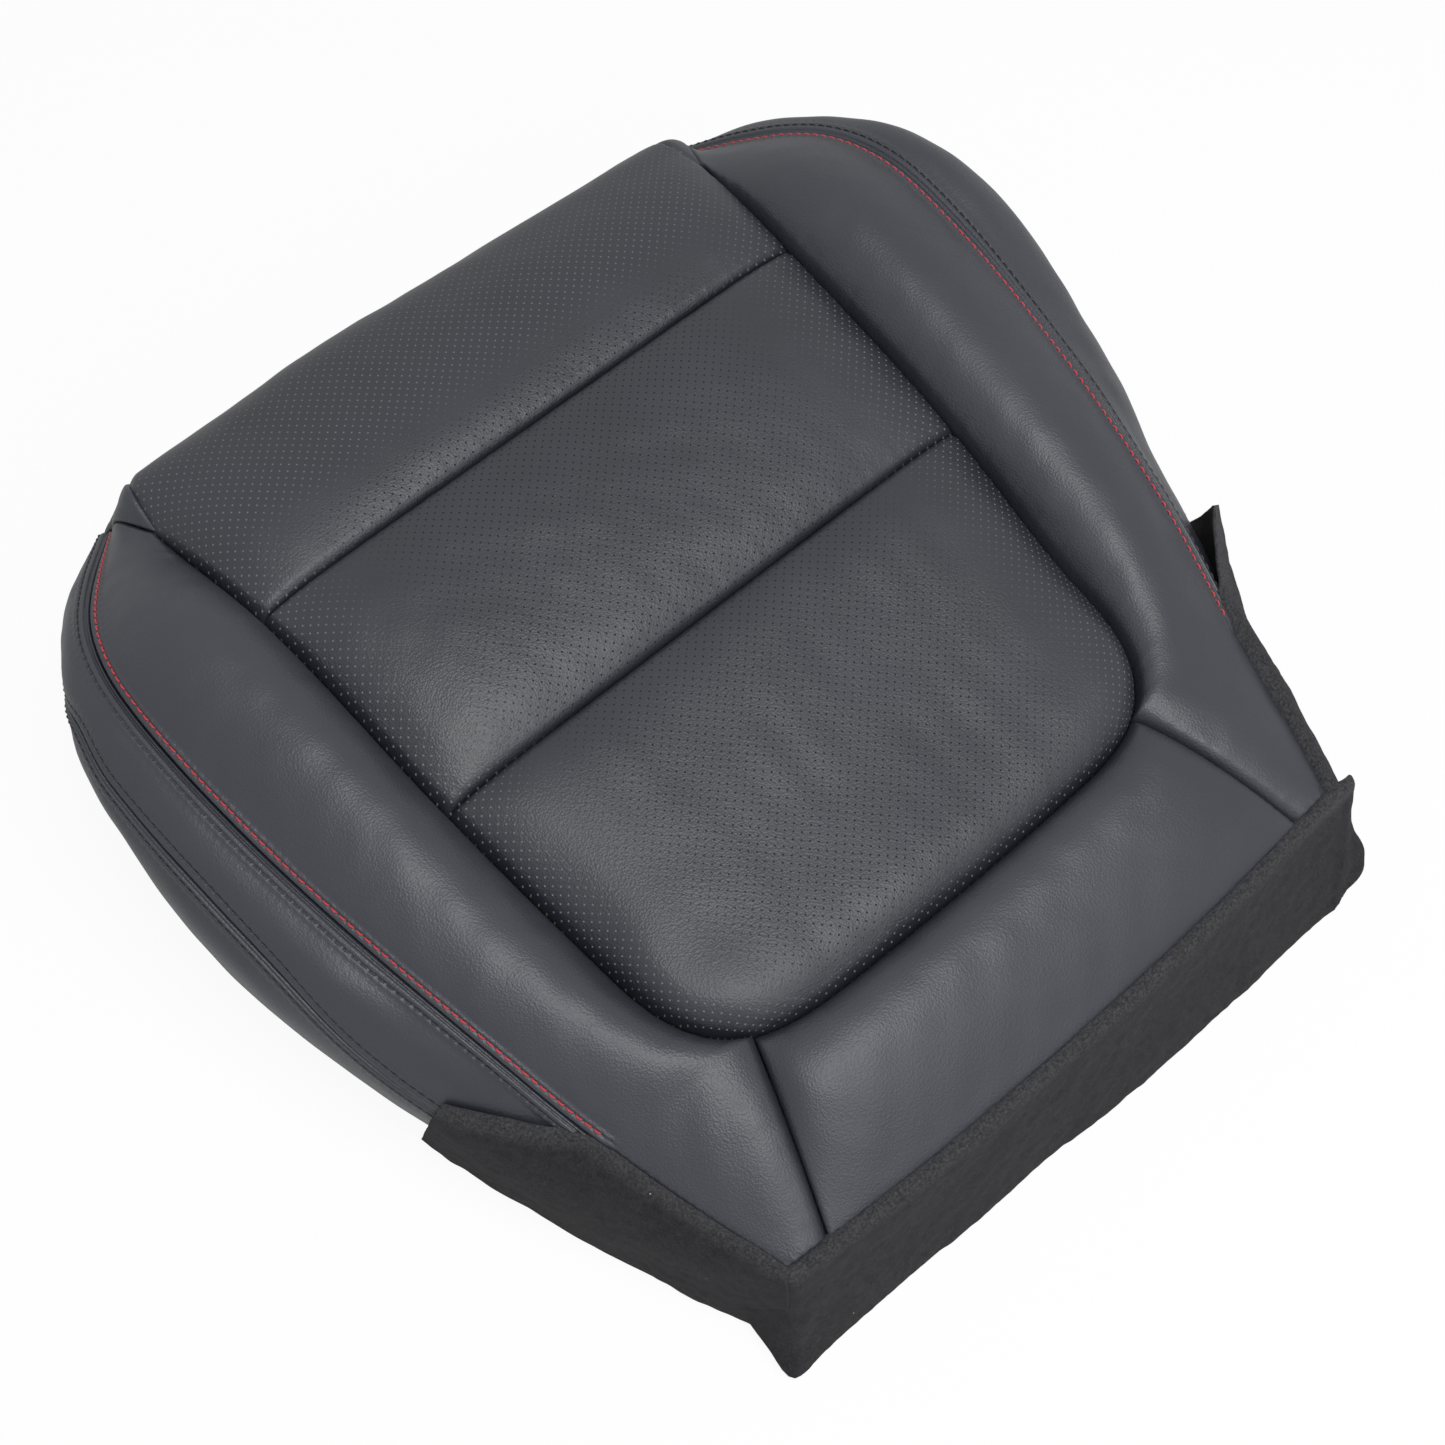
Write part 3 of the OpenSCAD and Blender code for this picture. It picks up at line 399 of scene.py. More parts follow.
def patch_plan(u, f):
    """Plan of the rear insert panel between its straight front seam and its rounded rear corners."""
    a = (u + 1) / 2
    s = stack(u * INSERT_W_SEAM2 / 2, Y_SEAM2 + 0 * u)
    r, e = groove_back(u), groove_rear_side(f)
    left, s1, r0, r1 = e * [-1, 1], np.array([INSERT_W_SEAM2 / 2, Y_SEAM2]), groove_back(-1.0), groove_back(
        1.0)
    a, f = a[..., None], f[..., None]
    return (
        (1 - f) * s + f * r + (1 - a) * left + a * e - (1 - a) * (1 - f) * s1 * [-1,
        1] - a * (1 - f) * s1 - (1 - a) * f * r0 - a * f * r1)


# ---- cloth and leather behaviour
def unevenness(p, wavelength, seed):
    """Smooth random height of about unit size, from plane waves with a fixed seed."""
    rng = np.random.default_rng(seed)
    total = 0
    for _ in range(14):
        d = rng.normal(size=3)
        k = 2 * math.pi / (wavelength * rng.uniform(0.7, 1.5)) * d / np.linalg.norm(d)
        total = total + np.sin(p @ k + rng.uniform(0, 2 * math.pi))
    return total / math.sqrt(7)


def turned_down(d, radius):
    """Leather that turns down into a seam over a fold radius, d millimetres from the seam."""
    x = held(1 - d / radius)
    return -radius * (1 - np.sqrt(1 - x * x))


def dip(d, at, width):
    return np.exp(-((d - at) / width) ** 2)


def drawn_up(a, pitch, seed):
    """Uneven waves along a seam that gathers its leather."""
    rng = np.random.default_rng(seed)
    total = 0
    for k in (0.55, 0.8, 1.0, 1.35, 1.9, 2.9):
        total = total + rng.uniform(0.5, 1) * np.sin(
            2 * math.pi * a / (pitch * k) + rng.uniform(0, 2 * math.pi))
    return total / 2.0


def beat(a):
    """1 at a row's needle holes, -1 half way between them."""
    return np.cos(2 * math.pi * a / STITCH_PITCH)


def plain_seam(radius, gather, pitch, seed, reach, notch=0.0):
    def height(d, a, y):
        waves = gather * drawn_up(a, pitch, seed) * np.exp(-d / reach) * ramp(d / 1.5)
        bites = notch * (0.5 + 0.5 * beat(a)) * dip(d, 0.8, 1.6)
        return turned_down(d, radius) + waves - bites
    return height


def french_seam(stitch_at, lift=1.0, second_crease=0.0):
    """Folded allowance under the leather beside a seam, held by a topstitch row stitch_at from it."""
    def height(d, a, y):
        allowance = lift * (1 - ramp((d - stitch_at - 0.4) / 2.6))
        row = -0.95 * (0.55 + 0.45 * beat(a)) * dip(d, stitch_at, 0.75) - 0.35 * dip(d, stitch_at, 1.3)
        pucker = 0.16 * beat(a) * dip(d, stitch_at + 2.2, 1.8)
        crease = -second_crease * dip(d, 1.9, 0.5)
        return allowance + row + pucker + crease + turned_down(d, 1.6) * 2.0
    return height


def sewn_hem(radius):
    def height(d, a, y):
        return turned_down(d, radius) - 0.45 * (0.5 + 0.5 * beat(a)) * dip(d, 0, 3.0)
    return height


def changing(first, then, y_change):
    """A seam that goes over into another kind of seam at a place along the cushion."""
    def height(d, a, y):
        return mix(first(d, a, y), then(d, a, y), ramp((y - y_change) / 9 + 0.5))
    return height


# distances of the grid's lines from an edge with a double row, and from a plain edge
FINE_SEAM = (0.2, 0.45, 0.8, 1.2, 1.6, 2.0, 2.5, 3.0, 3.5, 4.0, 4.5, 5.0, 5.5, 6.1, 6.8, 7.7, 8.8, 10.2)
PLAIN_EDGE = (0.2, 0.5, 1.0, 1.6, 2.3, 3.2, 4.3, 5.6, 7.2, 9.0)
STEP = 1.7  # of the leather's grid away from its edges


def along(points, axis):
    step = np.linalg.norm(np.diff(points, axis=axis), axis=-1)
    return np.concatenate(
        [np.zeros_like(np.take(step, [0], axis=axis)), np.cumsum(step, axis=axis)], axis=axis)


def marks(total, near, far, middle):
    """Distances across a panel: close together near both edges, even between."""
    near, far = [np.array(edge) * min(1.0, 0.46 * total / edge[-1]) for edge in (near, far)]
    return np.concatenate([near, np.linspace(near[-1], total - far[-1], middle + 2)[1:-1], total - far[::-1]])


def even_places(surface, near, far, step, at=0.5):
    """Row places in 0..1 whose distances down the panel follow marks()."""
    r = np.linspace(0, 1, 900)
    length = along(surface(r, np.full_like(r, at)), 0)
    middle = max(1, int((length[-1] - near[-1] - far[-1]) / step))
    return np.interp(marks(length[-1], near, far, middle), length, r)


def lay(surface, rows, near, far, step):
    """Grid of a surface, which takes the places down and across it as two arrays of one shape."""
    c = np.linspace(0, 1, 260)
    probe = along(surface(*np.broadcast_arrays(rows[:, None], c[None, :])), 1)
    middle = max(1, int((probe[:, -1].max() - near[-1] - far[-1]) / step))
    cols = np.array([np.interp(marks(p[-1], near, far, middle), p, c) for p in probe])
    return surface(np.broadcast_to(rows[:, None], cols.shape), cols)


def grid_normals(g, outward):
    n = np.cross(np.gradient(g, axis=0), np.gradient(g, axis=1))
    flat = np.linalg.norm(n, axis=-1) <= 1e-6
    n = unit(n)
    if flat.any():
        n[flat] = unit(n[~flat].mean(axis=0))
    return -n if n.reshape(-1, 3).mean(axis=0) @ outward < 0 else n


def placed(name, data):
    obj = bpy.data.objects.new(name, data)
    bpy.context.scene.collection.objects.link(obj)
    return obj


def mesh_object(name, verts, faces, material, uv=None, lining_and_painted_light=None, smooth=True):
    mesh = bpy.data.meshes.new(name)
    mesh.from_pydata(np.asarray(verts).tolist(), [], faces if isinstance(faces, list) else faces.tolist())
    if smooth:
        mesh.polygons.foreach_set("use_smooth", [True] * len(mesh.polygons))
    if uv is not None:
        loops = np.zeros(len(mesh.loops), np.int32)
        mesh.loops.foreach_get("vertex_index", loops)
        mesh.uv_layers.new(name="pattern").data.foreach_set("uv", np.asarray(uv, np.float32)[loops].ravel())
    if lining_and_painted_light is not None:
        painted_hole_light = mesh.attributes.new(name="lining_and_painted_light", type="FLOAT", domain="POINT")
        painted_hole_light.data.foreach_set("value", np.asarray(lining_and_painted_light, np.float32))
    mesh.materials.append(material)
    mesh.update()
    return placed(name, mesh)


def grid_faces(rows, cols, flip):
    i = np.arange(rows * cols).reshape(rows, cols)
    q = np.stack([i[:-1, :-1], i[:-1, 1:], i[1:, 1:], i[1:, :-1]], axis=-1).reshape(-1, 4)
    return q[:, ::-1] if flip else q


def faces_outward(grid, normals):
    """True if a grid's faces have to be turned over to look along its normals."""
    a = np.cross(grid[1:, :-1] - grid[:-1, :-1], grid[:-1, 1:] - grid[:-1, :-1])
    return float((a * normals[:-1, :-1]).sum()) > 0


class Panel:
    """One cut piece of leather: a surface with seams on its four edges, laid as a fine grid."""

    def __init__(
            self, name, surface, outward, edges, swellings=(), near=PLAIN_EDGE, far=PLAIN_EDGE, step=STEP,
            row_step=None, rows_at=0.5, mirror=False, settle=0, seed=1):
        rows = even_places(surface, PLAIN_EDGE, PLAIN_EDGE, row_step or step, rows_at)
        g = lay(surface, rows, near, far, step)
        if settle:
            g = settled(g, settle)
        if mirror:
            g = g * [-1, 1, 1]
            outward = np.array(outward) * [-1, 1, 1]
        n = grid_normals(g, np.array(outward, float))
        across, down = along(g, 1), along(g, 0)
        dist = {
            "start": across + near[0], "end": across[:, -1:] - across + far[0], "first": down + PLAIN_EDGE[0],
            "last": down[-1:, :] - down + PLAIN_EDGE[0]}
        calm = np.minimum.reduce([ramp(dist[k] / 14) for k in edges])
        height = (0.45 * unevenness(g, 85, seed) + 0.1 * unevenness(g, 21, seed + 9)) * calm
        sunk, inward = np.zeros_like(g), n.copy()
        for side, edge in edges.items():
            beside = side in ("start", "end")
            run = down if beside else across
            place = self.line(g, dist[side], edge.at, 0 if beside else 1)[1]
            place = place[:, None] if beside else place[None, :]
            depth = edge(dist[side], place + 0 * run, g[..., 1])
            if edge.pull is None:
                height = height + depth
            else:
                near_seam = (1 - ramp(dist[side] / 9))[..., None]
                sunk = sunk + depth[..., None] * unit(mix(n, np.array(edge.pull), near_seam))
                inward = unit(mix(inward, np.array(edge.pull), near_seam))
        for bump in swellings:
            height = height + bump(g, dist)
        self.name, self.base, self.normals, self.dist, self.inward = name, g, n, dist, inward
        self.top = g + n * np.maximum(height, -6.0)[..., None] + sunk

    @staticmethod
    def line(g, dist, at, axis):
        """Line on the grid at a set distance from one edge, and the length along it."""
        if axis:
            g, dist = g.transpose(1, 0, 2), dist.T
        out = np.empty((len(g), 3))
        for i, order in enumerate(map(np.argsort, dist)):
            out[i] = [np.interp(at, dist[i][order], g[i, order, k]) for k in range(3)]
        return out, along(out, 0)

    def build(self, material, uv=None, lining_and_painted_light=None):
        """The panel with two more rings of cells round it that turn its edges down into the seams."""
        rings, tuck = 2, 5.0
        widen = ((rings, rings), (rings, rings), (0, 0))
        top, n = np.pad(self.top, widen, mode="edge"), np.pad(self.inward, widen, mode="edge")
        r, c = (np.minimum(np.arange(k), np.arange(k)[::-1]) for k in top.shape[:2])
        ring = np.maximum(np.maximum(rings - r[:, None], rings - c[None, :]), 0)
        v = top - n * (np.array([0, 0.35, 1.0])[ring] * tuck)[..., None]
        if uv is not None:
            uv = np.pad(uv, widen, mode="edge").reshape(-1, 2)
            lining_and_painted_light = np.pad(lining_and_painted_light, rings, mode="edge").ravel()
        faces = grid_faces(*top.shape[:2], faces_outward(self.top, self.normals))
        obj = mesh_object(self.name, to_metres(v.reshape(-1, 3)), faces, material, uv, lining_and_painted_light)
        solid = obj.modifiers.new("leather_thickness", "SOLIDIFY")
        solid.thickness, solid.offset, solid.use_quality_normals = LEATHER_SHOWN / 1000, -1, True
        return obj

    def stitch_line(self, side, at, until=1e9):
        """Places and outward directions of a stitch row, as far back as until."""
        pts, nrm, run = [
            self.line(v, self.dist[side], at, 0 if side in ("start", "end") else 1) for v in (self.top,
            self.normals, self.base)]
        kept = pts[0][:, 1] < until
        return pts[0][kept], unit(nrm[0][kept]), run[1][kept]


def relaxed(g, times, share):
    """A grid whose rows are drawn again and again towards the middle between their neighbours."""
    for _ in range(times):
        g[1:-1] = g[1:-1] + share * (0.5 * (g[:-2] + g[2:]) - g[1:-1])
    return g


def settled(g, times):
    """Relax a grid less and less towards its sides, to take out kinks where surfaces join."""
    across = along(g, 1)
    return relaxed(g, times, 0.5 * ramp(np.minimum(across, across[:, -1:] - across) / 16)[1:-1, :, None])


def seam_edge(fn, at, pull=None):
    """A seam with its stitch row at a distance, and the way out of its groove if it is pulled straight in."""
    fn.at, fn.pull = at, pull
    return fn


# ---- materials
HOLE_GRID = 0.00389  # pitch of the perforations, in metres
HOLE_RIM = 0.095, 0.14  # radii where the rim of a hole begins and ends, as shares of that pitch


def linear(hex_colour):
    """sRGB hex to linear RGBA."""
    h = hex_colour.lstrip("#")
    c = [int(h[i:i + 2], 16) / 255 for i in (0, 2, 4)]
    return tuple(x / 12.92 if x <= 0.04045 else ((x + 0.055) / 1.055) ** 2.4 for x in c) + (1.0,)


def feed(tree, n, **values):
    """Sets up a node. Lower-case names are its properties. The others are its inputs, by name or by number,
    and take a value or another node's output."""
    for k, v in values.items():
        place = int(k[1:]) if k[0] == "_" else k.replace("_", " ")
        if k[0].islower():
            setattr(n, k, v)
        elif isinstance(v, bpy.types.NodeSocket):
            tree.links.new(v, n.inputs[place])
        else:
            n.inputs[place].default_value = v
    return n


def node(tree, kind, **values):
    return feed(tree, tree.nodes.new("ShaderNode" + kind), **values)


def maths(tree, operation, *values, kind="Math", output=0):
    links = {f"_{i}": v for i, v in enumerate(values)}
    return node(tree, kind, operation=operation, **links).outputs[output]


class Finish:
    """A Principled material and the nodes that feed it."""

    def __init__(self, name, **constants):
        self.material = bpy.data.materials.new(name)
        self.material.use_nodes = True
        self.tree = self.material.node_tree
        self.shader = self.tree.nodes["Principled BSDF"]
        self.use(**constants)

    def use(self, **values):
        feed(self.tree, self.shader, **values)

    def get(self, kind, output=0, **values):
        """Adds a node and gives one of its outputs."""
        return node(self.tree, kind, **values).outputs[output]

    def place(self):
        return self.get("TexCoord", "Object")

    def pattern(self):
        return self.get("UVMap", uv_map="pattern")

    def noise(self, place, size, detail, **more):
        return self.get("TexNoise", "Fac", Vector=place, Scale=1 / size, Detail=detail, **more)

    def vector(self, operation, *values, output=0):
        return maths(self.tree, operation, *values, kind="VectorMath", output=output)

    def scaled(self, share, low, high, to_low, to_high):
        return self.get("MapRange", _0=share, _1=low, _2=high, _3=to_low, _4=to_high)

    def blend(self, share, first, second):
        """Mix of two colours, each a hex value or a node's output."""
        first, second = [linear(c) if isinstance(c, str) else c for c in (first, second)]
        return self.get("Mix", 2, data_type="RGBA", _0=share, _6=first, _7=second)

    def relief(self, height, strength, distance):
        self.use(Normal=self.get("Bump", Strength=strength, Distance=distance, Height=height))


def leather(name, dark, light, perforated=False):
    """Pigmented cowhide, drum dyed and embossed with a fine pebble grain: deep charcoal with a soft even
    sheen that breaks up over the grain."""
    f = Finish(name, IOR=1.5)
    place = f.place()
    # grain pebbles 1.05 mm apart
    pebbles = f.get(
        "TexVoronoi", "Distance", feature="SMOOTH_F1", Vector=place, Scale=1 / 0.00105, Smoothness=0.6,
        Randomness=0.9)
    f.relief(maths(f.tree, "MULTIPLY_ADD", f.noise(place, 0.0006, 2.0), 0.35, pebbles), 0.7, 0.00022)
    cloud = f.noise(place, 0.055, 3.0)
    colour = f.blend(f.scaled(cloud, 0.3, 0.7, 0, 1), dark, light)
    rough = f.scaled(cloud, 0.3, 0.7, 0.42, 0.48)
    if perforated:
        # punched holes about 0.9 mm wide on a square grid turned by 45 degrees
        turned = f.get(
            "Mapping", Vector=f.pattern(), Rotation=(0, 0, math.radians(45)), Scale=(1 / HOLE_GRID,) * 3)
        centred = f.vector("SUBTRACT", f.vector("FRACTION", turned), (0.5, 0.5, 0.0))
        away = f.vector("LENGTH", f.vector("MULTIPLY", centred, (1.0, 1.0, 0.0)), output="Value")
        hole = f.scaled(away, *HOLE_RIM, 1, 0)
        # painted shade and light in the holes: their pits are painted dark, and they are painted pale near the
        # side seams, over the front roll and along the rear edge, where the leather around them lies in shade
        painted_hole_light = f.get("Attribute", "Fac", attribute_name="lining_and_painted_light")
        colour = f.blend(hole, colour, f.blend(painted_hole_light, "#2d2d31", "#808084"))
        rough = f.scaled(hole, 0, 1, rough, 1.0)
        f.use(Specular_IOR_Level=f.scaled(hole, 0, 1, 0.5, 0.0))
    f.use(Base_Color=colour, Roughness=rough)
    return f.material


def thread(name, dark, light):
    """Bonded polyester thread, three plies twisted: a tight glossy rope whose plies catch the light."""
    f = Finish(name, Roughness=0.48, IOR=1.5, Sheen_Weight=0.15)
    # the bands of the plies cross a stitch about every 0.4 mm
    ply = f.get(
        "TexWave", "Fac", wave_type="BANDS", bands_direction="DIAGONAL", Vector=f.pattern(), Scale=3.2,
        Distortion=0.6)
    # painted highlight and shade: each ply band runs from the dark colour to the light one, as if its crown
    # were lit and the groove beside it shaded
    f.use(Base_Color=f.blend(ply, dark, light))
    f.relief(ply, 0.5, 0.00015)
    return f.material


def felt(name):
    """Needle-punched polyester felt, dyed black: matt, with matted fibres and a little pale lint."""
    f = Finish(name, Roughness=0.95, IOR=1.45, Specular_IOR_Level=0.1, Sheen_Weight=0.06, Sheen_Roughness=0.5)
    place = f.place()
    # clumps of fibre 0.9 mm across, matted into tufts of 6 mm
    tufts = f.noise(place, 0.006, 6.0, Roughness=0.7, Distortion=1.2)
    fibre = f.noise(place, 0.0009, 3.0, Roughness=0.6, Distortion=2.0)
    matted = maths(f.tree, "MULTIPLY_ADD", tufts, 0.5, fibre)
    spots = node(f.tree, "TexVoronoi", feature="F1", Vector=place, Scale=1 / 0.011)
    rare = maths(f.tree, "GREATER_THAN", f.get("SeparateColor", Color=spots.outputs["Color"]), 0.86)
    lint = maths(f.tree, "MULTIPLY", f.scaled(spots.outputs["Distance"], 0.022, 0.038, 1, 0), rare)
    # painted highlight: a paler, mottled band along the sewn edge, where the rolled felt edge catches the
    # light
    from_edge = f.get("SeparateXYZ", Vector=f.pattern())
    edge_mottle = f.noise(place, 0.0013, 3.0, Roughness=0.7)
    edge_highlight = maths(
        f.tree, "MULTIPLY", f.scaled(from_edge, 0.001, 0.007, 1, 0), f.scaled(edge_mottle, 0.4, 0.72, 0.1, 0.9))
    colour = f.blend(f.scaled(matted, 0.5, 1.0, 0, 1), "#121214", "#3e3e41")
    f.use(Base_Color=f.blend(lint, f.blend(edge_highlight, colour, "#58585c"), "#b9b9bb"))
    f.relief(matted, 0.9, 0.0006)
    return f.material


def moulded_foam(name):
    """Cold-cured polyurethane foam from a closed mould: a dull skin with fine open cells."""
    f = Finish(name, Roughness=0.92, IOR=1.45, Specular_IOR_Level=0.25)
    place = f.place()
    cells = f.get("TexVoronoi", "Distance", feature="DISTANCE_TO_EDGE", Vector=place, Scale=1 / 0.0022)
    cell_relief_and_shade = f.scaled(cells, 0.02, 0.2, 0, 1)
    stain = f.scaled(f.noise(place, 0.06, 4.0), 0.3, 0.7, 0, 1)
    # painted shade: the low lines between the cells are coloured darker, as shade in those hollows
    f.use(Base_Color=f.blend(cell_relief_and_shade, "#3a3936", f.blend(stain, "#4d4b47", "#5c5a54")))
    f.relief(cell_relief_and_shade, 0.6, 0.0004)
    return f.material


def drawn_steel(name):
    """Drawn spring steel wire with a thin zinc coat: grey metal with a fine mottle."""
    f = Finish(name, Metallic=1.0)
    mottle = f.noise(f.place(), 0.0015, 4.0)
    f.use(Base_Color=f.blend(mottle, "#8f9296", "#b4b7ba"), Roughness=f.scaled(mottle, 0, 1, 0.28, 0.45))
    return f.material


def extruded_plastic(name):
    """Extruded polypropylene hook profile, black: satin, with a faint fine texture."""
    f = Finish(name, IOR=1.49)
    texture = f.noise(f.place(), 0.0008, 3.0)
    f.use(Base_Color=f.blend(texture, "#151516", "#1d1d1f"), Roughness=f.scaled(texture, 0, 1, 0.42, 0.6))
    f.relief(texture, 0.3, 0.0001)
    return f.material


PLAIN = leather("embossed_cowhide", "#2b2d34", "#31333b")
PUNCHED = leather("perforated_cowhide", "#23242b", "#292b32", perforated=True)
RED = thread("red_bonded_polyester", "#981e27", "#dc3f49")
BLACK = thread("black_bonded_polyester", "#141416", "#2e2e31")
FELT = felt("needle_punched_felt")
FOAM = moulded_foam("moulded_foam")
STEEL = drawn_steel("drawn_steel_wire")
PLASTIC = extruded_plastic("extruded_polypropylene")

# ---- leather panels
RED_AT, BLACK_AT, LOW_AT = 4.0, 5.6, 4.6  # stitch rows, from their seams
Y_SEWN, Y_FLAP = float(seam_point(S_SEWN)[1]) + 9, float(seam_point(S_FLAP)[1])
red_side = seam_edge(changing(french_seam(RED_AT, 1.2), sewn_hem(2.6), Y_SEWN), RED_AT)
black_side = seam_edge(french_seam(BLACK_AT, 1.2, 2.2), BLACK_AT)
low_upper = seam_edge(french_seam(LOW_AT, 0.9), LOW_AT)
low_lower = seam_edge(french_seam(LOW_AT, 1.1, 1.6), LOW_AT)
TOP_OUT, SIDE_OUT = (0, 0, 1), (1, 0, 0.3)
AT_SEAM = 0.2
groove_deep = seam_edge(plain_seam(6.2, 0.25, 12.0, 2, 8.0), AT_SEAM, TOP_OUT)
cross_seam = seam_edge(plain_seam(5.0, 0.22, 13.0, 5, 7.0), AT_SEAM, TOP_OUT)
tight_seam = seam_edge(plain_seam(2.6, 0.1, 8.0, 3, 4.0, 0.3), AT_SEAM)
corner_seam = seam_edge(plain_seam(2.4, 0.12, 9.0, 3, 5.0, 0.3), AT_SEAM, TOP_OUT)
hem_edge = seam_edge(sewn_hem(2.2), AT_SEAM)


def front_insert_surface(r, c):
    """r 0 at the front seam below the roll, 1 at the first cross seam."""
    u = 2 * c - 1
    v = np.clip(V_FRONT * (1 - r / 0.5), 0, V_FRONT)
    roll = front_point(u * ease(insert_edge_stations, v), v)
    y = mix(Y_WING, Y_SEAM1, held((r - 0.5) / 0.5))
    top = insert_point(u * half_insert(y), y)
    return np.where((r < 0.5)[..., None], roll, top)


def middle_insert_surface(r, c):
    y = mix(Y_SEAM1, Y_SEAM2, r)
    return insert_point((2 * c - 1) * half_insert(y), y)


def rear_insert_surface(r, c):
    p = patch_plan(2 * c - 1, r)
    return insert_point(p[..., 0], p[..., 1])


def bolster_surface(r, c):
    return bolster_point(r * run_len[-1], c)


def wing_surface(r, c):
    v = V_FRONT * (1 - r)
    return front_point(mix(ease(insert_edge_stations, v), 1, c), v)


def facing_surface(w0, w1, low_seam):
    def surface(r, c):
        s = r * S_DIAGONAL
        return side_point(s, side_w(s, mix(w0, w1, c), low_seam))
    return surface


def face_surface(r, c):
    return front_point(2 * r - 1, V_WING + (1 - V_WING) * mix(W_FRONT, 2, c) / 2)


def rear_surface(r, c):
    return rear_point(2 * r - 1, c)


def pattern_uv(panel):
    """Flat pattern in metres: x from the middle of each row, y down the middle column."""
    across, down = along(panel.base, 1), along(panel.base, 0)
    mid = across.shape[1] // 2
    x = across - across[:, mid:mid + 1]
    y = down[:, mid:mid + 1] + 0 * x
    return np.stack([x, y], axis=-1) / 1000


def lining_and_painted_hole_light(panel):
    """How pale the holes are painted, from 0 for the dark of their pits to 1 for a pale lining colour: pale
    near the side seams, over the front roll and along the rear edge, where the leather lies in shade and the
    holes are painted light against it, and dark elsewhere."""
    beside = np.exp(-(np.minimum(panel.dist["start"], panel.dist["end"]) / 42) ** 2)
    over_roll = ramp((Y_SEAM1 - 12 - panel.base[..., 1]) / 34)
    at_rear = np.exp(-(panel.dist["last"] / 11) ** 2) * ramp((panel.base[..., 1] - Y_SEAM2 - 40) / 40)
    return np.maximum.reduce([0.9 * beside, 0.8 * over_roll, 0.9 * at_rear])


def leather_piece(panel, node_name, punched=False):
    material, slot_name = (PUNCHED, "perforated_leather") if punched else (PLAIN, "plain_leather")
    obj = panel.build(material, *([pattern_uv(panel), lining_and_painted_hole_light(panel)] if punched else []))
    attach(obj, "cushion")
    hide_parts(node_name)


# fullness of the front roll across the cushion, from its right end to its left
roll_fullness = [
    (-185, -4.5), (-150, -4.5), (-105, -3), (-60, -1), (0, 1.5), (60, 2.5), (110, 1.5), (185, 1.5)]
# how full each side sits, in millimetres along the cushion: the foam isn't quite the same on both
full_left = [
    (0, 0.5), (25, -2.2), (60, -2.6), (128, -1.6), (160, -1.5), (200, 1), (240, 2.5), (290, 4.5), (345, 2),
    (385, 0), (480, -0.5)]
full_right = [
    (0, 2), (30, 3), (90, 4), (140, 5.5), (165, 5.5), (200, 2), (240, -1.5), (290, -3.2), (400, -3.2),
    (480, -2)]


def roll_shape(g, dist):
    return ease(roll_fullness, g[..., 0]) * dip(g[..., 1], 18, 30) * ramp(g[..., 2] / 60 - 0.6)


def roll_shape_wing(g, dist):
    return roll_shape(g, dist) * dist["end"] / (dist["start"] + dist["end"])


def puffed(g, dist):
    """Wadding behind a facing: fullest half way between its seams, flat again under the felt flap."""
    t = dist["start"] / (dist["start"] + dist["end"])
    return 13 * t * (1 - t) * ramp(dist["end"] / 9) * ramp((Y_FLAP - 4 - g[..., 1]) / 45)


def seams(start, end, first=tight_seam, last=tight_seam):
    return {"start": start, "end": end, "first": first, "last": last}


insert_front = Panel(
    "insert_front", front_insert_surface, (0, -0.3, 1),
    seams(groove_deep, groove_deep, low_upper, cross_seam), [roll_shape], settle=24, seed=3)
insert_middle = Panel(
    "insert_middle", middle_insert_surface, TOP_OUT, seams(groove_deep, groove_deep, cross_seam, cross_seam),
    seed=4)
insert_rear = Panel(
    "insert_rear", rear_insert_surface, TOP_OUT, seams(groove_deep, groove_deep, cross_seam, groove_deep),
    seed=5)
rear_border = Panel(
    "rear_border", rear_surface, TOP_OUT, seams(groove_deep, hem_edge, corner_seam, corner_seam), seed=6)
front_border = Panel(
    "front_border", face_surface, (0, -1, 0), seams(low_lower, hem_edge), near=FINE_SEAM, step=STEP * 1.5,
    seed=7)
for panel in (insert_front, insert_middle, insert_rear):
    leather_piece(panel, f"{panel.name}_panel", punched=True)
leather_piece(rear_border, "rear_panel")
leather_piece(front_border, "front_facing")

